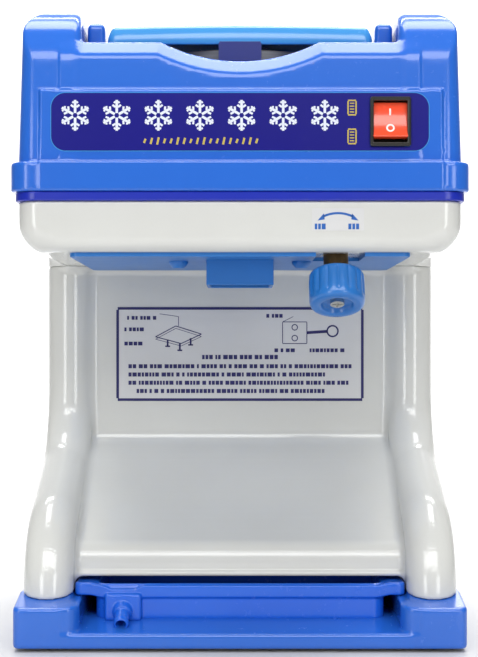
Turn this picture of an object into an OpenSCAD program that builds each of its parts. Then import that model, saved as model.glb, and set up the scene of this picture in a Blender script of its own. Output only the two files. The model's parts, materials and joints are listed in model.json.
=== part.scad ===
// Shaved ice machine: a belt-driven ice drum over a fixed blade, in a C-shaped housing.
// Origin: centre of the footprint at the level the feet stand on. +Z up, the front faces -Y.

/* [Overall] */
// Width over the base
base_w = 290; // [260:1:350]
// Depth from the front of the cover's flange to the rear
overall_d = 300; // [280:1:360]
// Height of the head's underside above the table
head_z = 254; // [230:1:310]

/* [Base] */
// How far the base's front stands behind the flange's front
base_setback = 18; // [10:1:24]
// Height of the base's corner blocks at their front edge
block_z = 28; // [26:0.5:32]
// Height of the deck that the body stands on
deck_z = 34; // [33:0.5:40]
// Height of the low sill between the corner blocks
sill_z = 12; // [9:0.5:14]
// Width of the ledge under each end of the drip tray's rim
ledge_w = 6.2; // [3:0.2:12]
// Wall of the moulded base
base_wall = 3; // [2:0.5:4]
// Diameter of a rubber foot
foot_d = 22; // [14:1:28]
// How far a foot stands below the base
foot_h = 2; // [1:0.5:6]

/* [Body] */
// Radius of the rounded side tubes
tube_r = 16.4; // [12:0.2:20]
// Radius of the tube's upper bend, on its centre line
bend_upper_r = 40; // [25:1:60]
// Radius of the tube's front knee, on its centre line
bend_knee_r = 25; // [18:1:32]
// Height of the upper bend's corner on the centre line
corner_upper_z = 122; // [110:1:140]
// Height of the knee's corner on the centre line
corner_knee_z = 66; // [60:1:76]
// Wall of the body's mouldings
shell = 3; // [2:0.5:4]

/* [Head and cover] */
// Height of the white head
head_h = 31.7; // [28:0.1:42]
// Height of the dark seal between head and cover
seal_h = 5.9; // [3:0.1:8]
// Height of the cover's flange
flange_h = 18.4; // [12:0.2:24]
// Height of the raised side horns above the seal
horn_h = 119.4; // [110:0.2:130]
// Width of one horn
horn_w = 40; // [32:1:44]
// Half width of the lid
lid_half = 87; // [80:0.5:100]
// Thickness of the lid's outer edge
lid_h = 11.2; // [8:0.2:14]

/* [Drum and drive] */
// Inner radius of the ice drum
drum_r = 80.5; // [70:0.5:84]
// Wall of the drum
drum_wall = 2; // [1:0.5:3]
// Radius of the rotor shaft
shaft_r = 6; // [5:0.5:8]
// Pitch radius of the driven pulley
driven_r = 36; // [30:1:38]
// Pitch radius of the motor pulley
motor_pulley_r = 12; // [10:0.5:16]
// Radius of the motor's can
motor_r = 50; // [40:1:54]
// Radial running clearance of a shaft in its bearing
run_gap = 0.05; // [0.02:0.01:0.1]

/* [Blade and outlet] */
// Length of the blade's cutting edge
blade_l = 38; // [30:1:38]
// Slope of the blade
blade_tilt = 15; // [10:1:18]
// Radius of the adjusting spindle
spindle_r = 4; // [3:0.5:5]
// Diameter of the adjusting knob
knob_d = 36; // [28:1:40]
// Length of the adjusting knob
knob_l = 23; // [18:1:25]
// Tilt of the knob's axis from the vertical
knob_tilt = 25; // [20:1:30]
// Sideways place of the knob
knob_x = 62; // [56:1:66]
// Outer width of the outlet chute
chute_w = 44; // [36:1:50]
// Outer radius of the drain spout
spout_r = 5; // [4:0.5:6]
// Radius of the spout's bore
spout_bore_r = 3.25; // [2.5:0.25:3.25]
// Length of the thicker collar at the spout's root
collar_l = 10; // [9.5:0.5:13]

/* [Hidden] */
$fn = 64;
eps = 0.5;              // how far a cutter runs past the face it opens
snug = 0.02;            // radial clearance of parts that are pressed or screwed together
free = 0.3;             // clearance between pieces that pass each other

// Colours
light_blue = [0.23, 0.47, 0.90];
dark_blue = [0.10, 0.17, 0.62];
navy = [0.10, 0.06, 0.50];
body_white = [0.88, 0.88, 0.86];
steel = [0.72, 0.73, 0.75];
dark_steel = [0.32, 0.33, 0.35];
black = [0.08, 0.08, 0.09];
gold = [0.80, 0.62, 0.20];

// Depth stations, from the front and the rear of the machine
front_y = -overall_d / 2;
rear_y = overall_d / 2;
base_front = front_y + base_setback;
face_y = front_y + 4;                   // front face of head and cover
rear_face = rear_y - 4;                 // rear face of head and cover
wall_y = front_y + 165;                 // back wall of the bowl recess
drum_y = front_y + 131;                 // drum axis
motor_y = rear_y - 68;                  // motor axis
tray_front = front_y + 48;
tray_rear = wall_y - 36;

// Widths
cover_half = base_w / 2 - 5;
flange_half = base_w / 2 - 0.5;
tube_x = base_w / 2 - 3 - tube_r;       // tube centre line
recess_half = tube_x - tube_r;          // clear half width between the tubes
block_inner = recess_half - ledge_w;    // inner half width between the corner blocks

// Base
pocket_r = 11;                          // rounded inner corners of the blocks
pocket_back = tray_rear + 6;
front_slope_l = 32;                     // the blocks slope up to the deck over this depth
sill_slope_l = 35;                      // the sill slopes up over this depth
sill_rise = 5;
ledge_drop = 2.8;                       // the tray's ledge below the deck
block_front_wall = 12;                  // extra wall in front of each block's hollow
foot_inset = 22;
foot_seat = 4;
foot_cup_r = 5;                         // hollow under a foot
plate_sheet = 1.2;
plate_screw_x = 60;
plate_screw_inset = 50;
plate_screw_head = 1.2;

// Tube centre line, as depth and height
tube_rear_y = front_y + 170;
tube_front_y = front_y + 49;
corner_upper = [tube_rear_y, corner_upper_z];
corner_knee = [tube_front_y, corner_knee_z];
slope = atan2(corner_upper[1] - corner_knee[1], corner_upper[0] - corner_knee[0]);
turn = 90 - slope;                      // angle of each bend
upper_tangent = bend_upper_r * tan(turn / 2);
knee_tangent = bend_knee_r * tan(turn / 2);
upper_centre = [corner_upper[0] - bend_upper_r, corner_upper[1] + upper_tangent];
knee_centre = [corner_knee[0] + bend_knee_r, corner_knee[1] - knee_tangent];
bend_steps = 10;
side_inset = 0.6;                       // the flat sides stand this far inside the tubes
side_back = 1;                          // and start this far behind the tubes' centre line

joint_step = 0.15;                      // straight runs are this much thinner than the bends
joint_run = 2;                          // and reach this far into them
rear_t = 3;                             // sheet of the rear cover, flush with the body's rear
body_rear = rear_face - rear_t;
apron_top = [wall_y - 1, corner_upper_z + 3];
apron_front = [tube_front_y + 13, corner_knee_z - 3];
panel_y = tube_front_y + 9;             // front panel under the apron
lip_z = deck_z + 8.5;                   // its lower edge, above the drip tray
pillar_half = 5;                        // screw pillars for the rear cover
pillar_l = 14;
side_in = tube_x + tube_r - side_inset - shell; // inner face of the body's flat sides
vent_w = 60;
vent_h = 5;
vent_x = 42;
vent_pitch = 11;
vent_count = 8;
vent_drop = 120;                        // lowest vent below the head
gland_at = [-90, deck_z + 34];
gland_r = 7;
cord_r = 3.6;

// Heights of the head and cover
seal_z = head_z + head_h;
cover_z = seal_z + seal_h;
flange_top = cover_z + flange_h;
horn_top = cover_z + horn_h;
rim_z = horn_top - 24;                  // top of the front and rear rims
deck_top = horn_top - 31;               // deck under the lid
deck_t = 3;
lid_top = horn_top - 5.4;
lid_z = lid_top - lid_h;
pad_top = flange_top + 46;              // top of the flat front pad
corner_r = 14;                          // upright corners of head and cover

// Trough that the fingers reach into, in front of the lid
trough_front = face_y + 13;
trough_rear = face_y + 34;
trough_z = deck_top - 28;
trough_half = cover_half - horn_w - 3;
cut_half = 50;                          // half width of the finger cut-out
cut_drop = 12;                          // its depth below the rim
cut_r = (cut_half * cut_half + cut_drop * cut_drop) / (2 * cut_drop);

// Ears beside the lid, and the hinge
ear_in = lid_half + 1;
lid_front = face_y + 40;
hinge_y = rear_face - 34;
hinge_z = lid_z + 2;
hinge_pin_r = 2.5;
knuckle_r = 5.5;
knuckle_x = 60;
knuckle_l = 14;
lug_t = 8;

// Drum
drum_floor = seal_z + 2.3;
floor_t = 3;
drum_base = drum_floor + floor_t;       // the surface the ice rides on
drum_top = lid_z - 4.4;
housing_r = 20;
housing_z = drum_floor - 15;
bearing_r = 14;
bearing_t = 8;
spacer_r = 6;
spacer_pitch = drum_r - 8.5;
rotor_z = drum_base + 1.5;
hub_r = 16;
hub_h = 38;
vane_h = 52;
vane_t = 3;
vane_count = 3;
vane_start = 30;

// Belt drive
head_floor = head_z + shell;
pulley_z = head_floor + 2.5;
pulley_h = 12;
pulley_lip = 3;
lip_t = 1.5;
belt_t = 2;
belt_gap = 0.4;
motor_top = head_z - 4;
motor_h = 114;
motor_flange = 110;
motor_flange_t = 6;
motor_bolt_half = 41;
motor_fin = 3;                          // cooling fins stand this far proud of the can
shaft_foot = head_floor + 1.5;
motor_shaft_r = 5;
armature_r = 28;                        // rotor pack on the motor's shaft
armature_l = 60;
armature_top = motor_top - 32;
air_gap = 0.6;
end_gap = 3;
armature_foot = armature_top - armature_l;
motor_shaft_foot = armature_foot - end_gap - 6;
bracket_half = 65;
bolt_r = 3;
bolt_head_r = 5.5;
bolt_head_h = 4;

// Run capacitor
cap_at = [92, rear_y - 62];
cap_r = 17;
cap_h = 70;

// Blade
blade_w = 26;
blade_t = 2;
blade_x = -2;
blade_lift = 0.3;                       // edge above the drum floor at rest
blade_y = drum_y - drum_r + 3.5 + blade_l / 2;
slot_front = blade_y - blade_l / 2 - 1.5;
slot_rear = blade_y + blade_l / 2 + 1.5;
bolt_pitch = blade_l * 0.3;
bolt_back = 19;                         // blade bolts behind the cutting edge
holder_h = 10;

// Knob and spindle: distances along the spindle from the knob's face
knob_face = [knob_x, front_y + 20, head_z - 34];
flute_count = 14;
knob_recess = 4;
knob_recess_r = 10.5;
bush_r = 8;
bush_from = knob_l + 3;
bush_to = 50;
spindle_from = 8;
spindle_to = 71;
nut_from = 58;
nut_to = 69;
arm_at = 64;                            // the blade holder's arm meets the nut here

// Outlet
plate_half = recess_half - 1.2;
plate_t = 2.5;
plate_front = face_y + 9;
notch = [14, 17];                       // notch for the knob, left and right of its centre
notch_back = drum_y - 72;
chute_front = drum_y - 88;
chute_rear = drum_y - driven_r - pulley_lip - 2;
chute_z = head_z - 19;
chute_top = head_z + 14;
chute_wall = 2.5;
plate_bolt_x = 41;
dome_r = 7;
dome_head_r = 6.5;

// Drip tray
tray_top = deck_z + 6;
rim_t = tray_top - deck_z + ledge_drop - free; // the rim hangs down to just above its ledge
tray_half = block_inner - 8;
tray_rim_half = recess_half - 0.7;
tray_floor = deck_z - 14;
spout_x = -76.6;
spout_tilt = 24;
spout_l = 22;
spout_root = [spout_x, tray_front + 1, tray_floor + 9];
spout_block_half = 12;
tray_wall = 2;

// Switch
switch_at = [94, flange_top + 25];
bezel = [25.5, 31];
switch_depth = 24;
rocker_half = 10.2;
rocker_l = 24;
rocker_tilt = 12;
rocker_pivot = 6;                       // pivot behind the front face
rocker_end = rocker_l / 2 - 0.6;        // ends of the key, either side of its pivot
rocker_pin_r = 1.5;
bezel_t = 2.6;
can_half = [11.2, 13.7];                // switch body behind the bezel

// Printed panel, gold marks and labels
panel_t = 0.8;
panel_half = 118;
panel_z = flange_top + 7;
panel_h = 36;
mark_x = [switch_at[0] - 27, switch_at[0] - 21];
mark_z = [switch_at[1] + 8.8, switch_at[1] - 9.2];
mark_half = 5;
mark_t = 0.4;
label_half = 91.5;                      // instruction label on the back wall
label_z = [head_z - 99, head_z - 29.5];
label_t = 0.4;
arrow_x = [knob_x - 17, knob_x + 15.5]; // arrow label above the knob
arrow_z = [head_z + 13, head_z + 27];
arrow_t = 0.3;

// ---- Helpers ----

module rounded(x0, x1, y0, y1, r) {
    translate([x0 + r, y0]) square([x1 - x0 - 2 * r, y1 - y0]);
    translate([x0, y0 + r]) square([x1 - x0, y1 - y0 - 2 * r]);
    for (x = [x0 + r, x1 - r], y = [y0 + r, y1 - r]) translate([x, y]) circle(r);
}

// Extrudes a depth and height outline across the width
module across(x0, x1) {
    translate([x0, 0, 0]) rotate([90, 0, 90]) linear_extrude(x1 - x0) children();
}

// Extrudes a width and height outline through the depth
module through(y0, y1) {
    translate([0, y1, 0]) rotate([90, 0, 0]) linear_extrude(y1 - y0) children();
}

module block(x0, x1, y0, y1, z0, z1) {
    translate([x0, y0, z0]) cube([x1 - x0, y1 - y0, z1 - z0]);
}

module post(x, y, z0, z1, r) {
    translate([x, y, z0]) cylinder(h = z1 - z0, r = r);
}

module ring(x, y, z0, z1, outer, inner) {
    difference() {
        post(x, y, z0, z1, outer);
        post(x, y, z0 - eps, z1 + eps, inner);
    }
}

module both_sides() {
    children();
    mirror([1, 0, 0]) children();
}

// Points of an arc, as depth and height
function arc(c, r, from, to, n) =
    [for (i = [0:n]) let (a = from + (to - from) * i / n) c + r * [cos(a), sin(a)]];

// ---- Base ----

// Side outline of the base: sloped front block, then the deck
module base_side(grow) {
    polygon([[base_front - grow, foot_h], [rear_y, foot_h], [rear_y, deck_z + grow],
        [base_front + front_slope_l, deck_z + grow], [base_front - grow, block_z + grow]]);
}

module base_outline() {
    rounded(-base_w / 2, base_w / 2, base_front, rear_y, 6);
}

module base_pocket() {
    // low sill, sloping up to the tray's floor
    across(-block_inner, block_inner) polygon([[base_front - eps, sill_z],
        [base_front + sill_slope_l, sill_z + sill_rise], [pocket_back, sill_z + sill_rise],
        [pocket_back, deck_z + eps], [base_front - eps, deck_z + eps]]);
    // ledge under the tray's rim
    block(-recess_half - free, recess_half + free, base_front - eps, pocket_back,
        deck_z - ledge_drop, deck_z + eps);
    // rounded inner corners of the blocks
    both_sides() difference() {
        block(block_inner - eps, block_inner + pocket_r, base_front - eps, base_front + pocket_r,
            sill_z + sill_rise, deck_z);
        post(block_inner + pocket_r, base_front + pocket_r, sill_z, deck_z + eps, pocket_r);
    }
}

module base_cavity() {
    w = base_w / 2 - base_wall;
    block(-w, w, base_front + base_wall, rear_y - base_wall, foot_h - eps, sill_z - base_wall);
    both_sides() block(block_inner + base_wall, w, base_front + base_wall + block_front_wall, rear_y - base_wall,
        sill_z - base_wall - eps, block_z - base_wall);
    block(-w, w, pocket_back + base_wall, rear_y - base_wall, sill_z - base_wall - eps, deck_z - base_wall);
}

module base() color(light_blue) {
    difference() {
        intersection() {
            translate([0, 0, foot_h]) linear_extrude(deck_z) base_outline();
            across(-base_w / 2, base_w / 2) base_side(0);
        }
        base_pocket();
        base_cavity();
    }
    for (p = foot_points())
        ring(p[0], p[1], foot_h + foot_seat, cavity_top(p[0], p[1]) + eps, foot_d / 2, bolt_r);
    for (p = plate_screw_points()) ring(p[0], p[1], foot_h + plate_sheet, cavity_top(p[0], p[1]) + eps, 5, 2);
}

// Height of the hollow's ceiling above a point
function cavity_top(x, y) = y > tray_rear ? deck_z - base_wall
    : abs(x) > block_inner ? block_z - base_wall : sill_z - base_wall;
function foot_points() = [for (x = [-1, 1], y = [base_front + foot_inset, rear_y - foot_inset])
    [x * (base_w / 2 - foot_inset), y]];
function plate_screw_points() = [for (x = [-1, 1], y = [base_front + plate_screw_inset, rear_y - plate_screw_inset])
    [x * plate_screw_x, y]];

module base_plate() color(steel) {
    inset = base_wall + free;
    difference() {
        translate([0, 0, foot_h]) linear_extrude(plate_sheet)
            rounded(-base_w / 2 + inset, base_w / 2 - inset, base_front + inset, rear_y - inset, 3);
        for (p = foot_points()) post(p[0], p[1], 0, foot_h + plate_sheet + eps, foot_d / 2 + free);
        for (p = plate_screw_points()) post(p[0], p[1], 0, foot_h + plate_sheet + eps, 2 + snug);
    }
}

module rubber_feet() color(black)
    for (p = foot_points()) difference() {
        post(p[0], p[1], 0, foot_h + foot_seat, foot_d / 2 - snug);
        post(p[0], p[1], -eps, foot_h, foot_cup_r);
    }

module base_screws() color(steel)
    for (p = plate_screw_points()) {
        post(p[0], p[1], foot_h - plate_screw_head, foot_h, 4);
        post(p[0], p[1], foot_h - eps, foot_h + 6, 2 - snug);
    }

// ---- Body ----

// Depth and height outline behind a line that runs down the tube, set in by a distance
module body_side(set) {
    half = turn / bend_steps / 2;
    upper = arc(upper_centre, bend_upper_r + set, -half, half - turn, bend_steps - 1);
    knee = arc(knee_centre, bend_knee_r - set, 90 + slope + half, 180 - half, bend_steps - 1);
    polygon(concat([[body_rear, deck_z - 10], [body_rear, head_z], [tube_rear_y + set, head_z]],
        upper, knee, [[tube_front_y + set, deck_z - 10]]));
}

// One bent side tube: two bends, and slightly thinner straight runs that reach a little into them
module tube(r) {
    thin = r - joint_step;
    straight = norm(corner_upper - corner_knee) - upper_tangent - knee_tangent;
    translate([tube_x, 0, 0]) {
        translate([0, upper_centre[0], upper_centre[1]]) rotate([90, 0, 90])
            rotate([0, 0, -turn]) rotate_extrude(angle = turn) translate([bend_upper_r, 0]) circle(r);
        translate([0, knee_centre[0], knee_centre[1]]) rotate([90, 0, 90])
            rotate([0, 0, 90 + slope]) rotate_extrude(angle = turn) translate([bend_knee_r, 0]) circle(r);
        translate([0, tube_rear_y, upper_centre[1] - joint_run])
            cylinder(h = head_z - upper_centre[1] + joint_run, r = thin);
        translate([0, tube_front_y, deck_z - 10])
            cylinder(h = knee_centre[1] - deck_z + 10 + joint_run, r = thin);
        translate([0, corner_knee[0] + knee_tangent * cos(slope), corner_knee[1] + knee_tangent * sin(slope)])
            rotate([slope - 90, 0, 0]) translate([0, 0, -joint_run])
                cylinder(h = straight + 2 * joint_run, r = thin);
    }
}

// Depth and height outline of the recess's back wall, apron and front panel
module middle_side(set) {
    polygon([[body_rear, lip_z - eps - 8], [body_rear, head_z - set], [wall_y + set, head_z - set],
        [wall_y + set, apron_top[1] + 5 - set * 0.4], [apron_top[0] + set, apron_top[1] - set],
        [apron_front[0] + set * 0.6, apron_front[1] - set], [panel_y + set, apron_front[1] - 3 - set],
        [panel_y + set, lip_z - eps - 8]]);
}

module body_shell() color(body_white) {
    top_wall = head_z + eps;
    difference() {
        union() {
            both_sides() {
                tube(tube_r);
                across(recess_half + side_inset, tube_x + tube_r - side_inset) body_side(side_back);
            }
            across(-tube_x, tube_x) middle_side(0);
        }
        // hollow of the side tubes
        both_sides() {
            tube(tube_r - shell);
            across(recess_half + shell + side_inset, tube_x + tube_r - shell - side_inset) body_side(side_back);
        }
        // hollow behind the wall and under the apron
        across(-tube_x, tube_x) intersection() {
            middle_side(shell);
            translate([wall_y + shell, 0]) square([overall_d, head_z]);
        }
        across(-recess_half - side_inset, recess_half + side_inset) middle_side(shell);
        // open above the tray and where the rear cover goes
        block(-recess_half - side_inset, recess_half + side_inset, front_y, wall_y - 10, 0, lip_z);
        block(-base_w, base_w, front_y, rear_y, 0, deck_z - 9);
        across(-base_w, base_w) base_side(0);
        // opening to the head for the belt drive
        block(-motor_r - 20, motor_r + 20, wall_y + 9, rear_face + eps, head_z - shell - eps, top_wall);
    }
    // screw pillars for the rear cover
    for (p = rear_screw_points()) difference() {
        block(p[0] - pillar_half, p[0] + pillar_half, body_rear - rear_t - pillar_l, body_rear - rear_t,
            p[1] - pillar_half, p[1] + pillar_half);
        translate([p[0], rear_face, p[1]]) rotate([90, 0, 0]) cylinder(h = 18, r = 2);
    }
}

function rear_screw_points() = [for (x = [-1, 1], z = [deck_z + 16, (deck_z + head_z) / 2, head_z - 14])
    [x * (side_in - pillar_half), z]];

module rear_cover() color(body_white) {
    w = side_in - free;
    difference() {
        through(body_rear - rear_t, body_rear) rounded(-w, w, deck_z + free, head_z - shell - free, 4);
        for (p = rear_screw_points())
            translate([p[0], rear_face, p[1]]) rotate([90, 0, 0]) cylinder(h = 12, r = 2.2);
        for (x = [-1, 1], i = [0:vent_count - 1])
            translate([x * vent_x - vent_w / 2, rear_face - 8, head_z - vent_drop + i * vent_pitch])
                cube([vent_w, 8, vent_h]);
        translate([gland_at[0], rear_face, gland_at[1]]) rotate([90, 0, 0])
            cylinder(h = 12, r = gland_r + snug);
    }
}

module rear_screws() color(steel)
    for (p = rear_screw_points()) translate([p[0], body_rear, p[1]]) {
        rotate([-90, 0, 0]) cylinder(h = 2, r = 4);
        rotate([90, 0, 0]) cylinder(h = 12, r = 2 - snug);
    }

module cord_gland() color(black)
    translate([gland_at[0], rear_face - 12, gland_at[1]]) rotate([-90, 0, 0]) difference() {
        union() {
            cylinder(h = 13, r = gland_r);
            translate([0, 0, 9]) cylinder(h = 6, r = gland_r + 3);
            cylinder(h = 6 - snug, r = gland_r + 2);
        }
        translate([0, 0, -eps]) cylinder(h = 20, r = cord_r);
    }

// ---- Head ----

// The head is rounded below in front of the column, and runs straight down onto it
module head_outer(set) {
    corner = 19;
    fillet = 9;
    w = cover_half - set;
    side = tube_x + tube_r - side_inset - set;
    translate([0, 0, head_z + set]) linear_extrude(head_h) {
        translate([-side, tube_rear_y]) square([2 * side, rear_face - tube_rear_y - set]);
        for (x = [-tube_x, tube_x]) translate([x, tube_rear_y]) circle(tube_r - side_inset - set);
    }
    intersection() {
        translate([0, 0, head_z + set]) linear_extrude(head_h)
            rounded(-w, w, face_y + set, rear_face - set, corner_r - set);
        through(front_y, rear_y) rounded(-w, w, head_z + set, seal_z + 2 * corner, corner - set);
        across(-base_w, base_w)
            rounded(face_y + set, rear_face - set, head_z + set, seal_z + 2 * fillet, fillet - set);
    }
}

// Place along the spindle, from the knob's face
module on_spindle(t) {
    translate(knob_face) rotate([-knob_tilt, 0, 0]) translate([0, 0, t]) children();
}

module motor_bolt_holes(z0, z1, r)
    for (x = [-1, 1], y = [-1, 1]) post(x * motor_bolt_half, motor_y + y * motor_bolt_half, z0, z1, r);

function spacer_points() = [for (a = [45:90:315]) [spacer_pitch * cos(a), drum_y + spacer_pitch * sin(a)]];
function plate_bolt_points() = [[-plate_bolt_x, drum_y - 68], [plate_bolt_x, drum_y - 68], [0, drum_y - 15]];

module head_shell() color(body_white) difference() {
    head_outer(0);
    head_outer(shell);
    block(-base_w, base_w, front_y, rear_y, seal_z, seal_z + 60);
    block(-chute_w / 2 - free, chute_w / 2 + free, chute_front - free, chute_rear + free,
        head_z - eps, head_floor + eps);
    on_spindle(bush_from) cylinder(h = bush_to, r = bush_r + snug);
    for (p = plate_bolt_points()) post(p[0], p[1], head_z - eps, head_floor + eps, bolt_r + snug);
    for (p = spacer_points()) post(p[0], p[1], head_z - eps, head_floor + eps, 2 + snug);
    motor_bolt_holes(head_z - eps, head_floor + eps, bolt_r + snug);
    post(0, motor_y, head_z - eps, head_floor + eps, 20);
}

module head_seal() color(dark_blue) difference() {
    translate([0, 0, seal_z]) linear_extrude(seal_h)
        rounded(-cover_half - 2, cover_half + 2, face_y - 2, rear_face + 2, corner_r);
    translate([0, 0, seal_z - eps]) linear_extrude(seal_h + 2 * eps)
        rounded(-cover_half + 8, cover_half - 8, face_y + 8, rear_face - 8, corner_r - 8);
}

// ---- Top cover ----

// Depth and height outline of a horn: the top runs level, and curves down at both ends
module horn_side(set) {
    run = 46;
    fall = horn_top - pad_top;
    n = 10;
    front = [for (i = [0:n]) let (a = 90 * i / n)
        [face_y + set + run * (1 - sin(90 - a)), pad_top + (fall - set) * sin(a)]];
    rear = [for (i = [0:n]) let (a = 90 - 90 * i / n)
        [rear_face - set - run * (1 - sin(90 - a)), pad_top + (fall - set) * sin(a)]];
    polygon(concat([[rear_face - set, cover_z], [face_y + set, cover_z]], front, rear));
}

module horn_front(set) {
    outer = 20;
    inner = 7;
    x0 = cover_half - horn_w;
    difference() {
        translate([x0 + set, cover_z]) square([horn_w - 2 * set, horn_h - set]);
        translate([cover_half - set - outer, horn_top - set - outer]) difference() {
            square(outer + 1);
            circle(outer);
        }
        translate([x0 + set, horn_top - set - inner]) difference() {
            translate([-1, 0]) square([inner + 1, inner + 1]);
            translate([inner, 0]) circle(inner);
        }
    }
}

module horn(set) intersection() {
    through(front_y, rear_y) horn_front(set);
    across(0, base_w) horn_side(set);
    translate([0, 0, cover_z - eps]) linear_extrude(horn_h + 1)
        rounded(-cover_half + set, cover_half - set, face_y + set, rear_face - set, corner_r - set);
}

module hinge_lug(x) {
    block(x, x + lug_t, hinge_y - knuckle_r, hinge_y + knuckle_r, deck_top - eps, hinge_z);
    translate([x, hinge_y, hinge_z]) rotate([0, 90, 0]) cylinder(h = lug_t, r = knuckle_r);
}

module top_cover() color(light_blue) difference() {
    union() {
        translate([0, 0, cover_z]) linear_extrude(flange_h)
            rounded(-flange_half, flange_half, front_y, rear_y, corner_r + 2);
        difference() {
            translate([0, 0, cover_z]) linear_extrude(deck_top - cover_z)
                rounded(-cover_half, cover_half, face_y, rear_face, corner_r);
            both_sides() block(cover_half - horn_w, base_w, front_y, rear_y, flange_top, horn_top);
        }
        both_sides() horn(0);
        block(-trough_half - 4, trough_half + 4, face_y + 4, trough_front, deck_top - eps, rim_z);
        block(-trough_half - 4, trough_half + 4, rear_face - 13, rear_face - 4, deck_top - eps, rim_z);
        both_sides() block(ear_in, trough_half + 4, trough_rear + 2, hinge_y - 8, deck_top - eps, lid_top + 0.4);
        both_sides() hinge_lug(knuckle_x + knuckle_l + free);
    }
    // hollow of the cover, around the trough
    difference() {
        translate([0, 0, cover_z - eps]) linear_extrude(deck_top - deck_t - cover_z + eps)
            rounded(-cover_half + shell, cover_half - shell, face_y + shell, rear_face - shell, corner_r - shell);
        block(-trough_half - shell, trough_half + shell, face_y, trough_rear + shell, trough_z - shell, deck_top);
    }
    both_sides() horn(shell);
    // trough and finger cut-out
    block(-trough_half, trough_half, trough_front, trough_rear, trough_z, horn_top);
    translate([0, trough_front + 1, rim_z - cut_drop + cut_r]) rotate([90, 0, 0])
        cylinder(h = 30, r = cut_r, $fn = 128);
    // drum hole
    post(0, drum_y, deck_top - deck_t - eps, deck_top + eps, drum_r + drum_wall + 1);
    // switch hole
    block(switch_at[0] - can_half[0] - free, switch_at[0] + can_half[0] + free, front_y, face_y + shell + eps,
        switch_at[1] - can_half[1] - free, switch_at[1] + can_half[1] + free);
    // hinge pin bores
    both_sides() translate([knuckle_x - 1, hinge_y, hinge_z]) rotate([0, 90, 0])
        cylinder(h = 30, r = hinge_pin_r + snug);
}

module name_panel() color(navy) difference() {
    through(face_y - panel_t, face_y) rounded(-panel_half, panel_half, panel_z, panel_z + panel_h, 8);
    block(switch_at[0] - bezel[0] / 2 - eps, switch_at[0] + bezel[0] / 2 + eps, front_y, face_y + 1,
        switch_at[1] - bezel[1] / 2 - eps, switch_at[1] + bezel[1] / 2 + eps);
}

module gold_marks() color(gold)
    for (z = mark_z)
        block(mark_x[0], mark_x[1], face_y - panel_t - mark_t, face_y - panel_t, z - mark_half, z + mark_half);

module switch_body() color(black) difference() {
    union() {
        through(face_y - bezel_t, face_y) rounded(switch_at[0] - bezel[0] / 2, switch_at[0] + bezel[0] / 2,
            switch_at[1] - bezel[1] / 2, switch_at[1] + bezel[1] / 2, 1.5);
        block(switch_at[0] - can_half[0], switch_at[0] + can_half[0], face_y - 1, face_y + switch_depth,
            switch_at[1] - can_half[1], switch_at[1] + can_half[1]);
        for (x = [-5, 5], z = [-8, 0, 8]) block(switch_at[0] + x - 0.4, switch_at[0] + x + 0.4,
            face_y + switch_depth - eps, face_y + switch_depth + 8, switch_at[1] + z - 2.4, switch_at[1] + z + 2.4);
    }
    block(switch_at[0] - rocker_half - free, switch_at[0] + rocker_half + free, front_y, face_y + 14,
        switch_at[1] - rocker_l / 2 - 1, switch_at[1] + rocker_l / 2 + 1);
    translate([switch_at[0] - 20, face_y + rocker_pivot, switch_at[1]]) rotate([0, 90, 0])
        cylinder(h = 40, r = rocker_pin_r + run_gap);
}

// A rocker with two faces that meet in a shallow valley over its pivot
module switch_rocker() color([0.95, 0.30, 0.15])
    translate([0, face_y + rocker_pivot, switch_at[1]]) rotate([-rocker_tilt, 0, 0]) {
        across(switch_at[0] - rocker_half, switch_at[0] + rocker_half) polygon([
            [-5.2, 0], [-7.2, rocker_end], [-2, rocker_end],
            [4, 4], [4, -4], [-2, -rocker_end], [-7.2, -rocker_end]]);
        translate([switch_at[0], 0, 0]) rotate([0, 90, 0])
            cylinder(h = 2 * can_half[0] - 0.2, r = rocker_pin_r, center = true);
    }

// ---- Lid ----

module lid() color(light_blue) difference() {
    union() {
        difference() {
            translate([0, 0, lid_z]) linear_extrude(lid_h) rounded(-lid_half, lid_half, lid_front, hinge_y - 7, 6);
            translate([0, 0, lid_z - eps]) linear_extrude(lid_h - 3 + eps)
                rounded(-lid_half + 3, lid_half - 3, lid_front + 3, hinge_y - 10, 3);
        }
        both_sides() {
            translate([knuckle_x, hinge_y, hinge_z]) rotate([0, 90, 0]) cylinder(h = knuckle_l, r = knuckle_r);
            block(knuckle_x, knuckle_x + knuckle_l, hinge_y - 12, hinge_y, hinge_z - 2, hinge_z + knuckle_r);
        }
    }
    both_sides() translate([knuckle_x - 1, hinge_y, hinge_z]) rotate([0, 90, 0])
        cylinder(h = knuckle_l + 2, r = hinge_pin_r + run_gap);
}

module lid_tab() color(navy) {
    block(-14, 14, lid_front, lid_front + 2.8, lid_z - 13, lid_z);
    block(-14, 14, lid_front + 3.2, lid_front + 14, lid_z, lid_z + lid_h - 3.2);
    block(-14, 14, lid_front, lid_front + 6, lid_z - 2, lid_z);
}

module hinge_pins() color(steel)
    both_sides() translate([knuckle_x - 2, hinge_y, hinge_z]) rotate([0, 90, 0])
        cylinder(h = knuckle_l + lug_t + free + 3, r = hinge_pin_r);

// ---- Drum and rotor ----

module drum() color(steel) difference() {
    union() {
        post(0, drum_y, drum_floor, drum_top, drum_r + drum_wall);
        post(0, drum_y, housing_z, drum_floor + 1, housing_r);
    }
    post(0, drum_y, drum_base, drum_top + eps, drum_r);
    post(0, drum_y, housing_z - eps, drum_base + eps, bearing_r + snug);
    block(blade_x - 4, blade_x + 16, slot_front, slot_rear, drum_floor - eps, drum_base + eps);
    for (p = spacer_points()) {
        post(p[0], p[1], drum_floor - eps, drum_base + eps, 2 + snug);
        post(p[0], p[1], drum_base - 1.5, drum_base + eps, 4 + snug);
    }
}

module drum_spacers() color(dark_steel)
    for (p = spacer_points()) ring(p[0], p[1], head_floor, drum_floor, spacer_r, 2 + snug);

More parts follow.
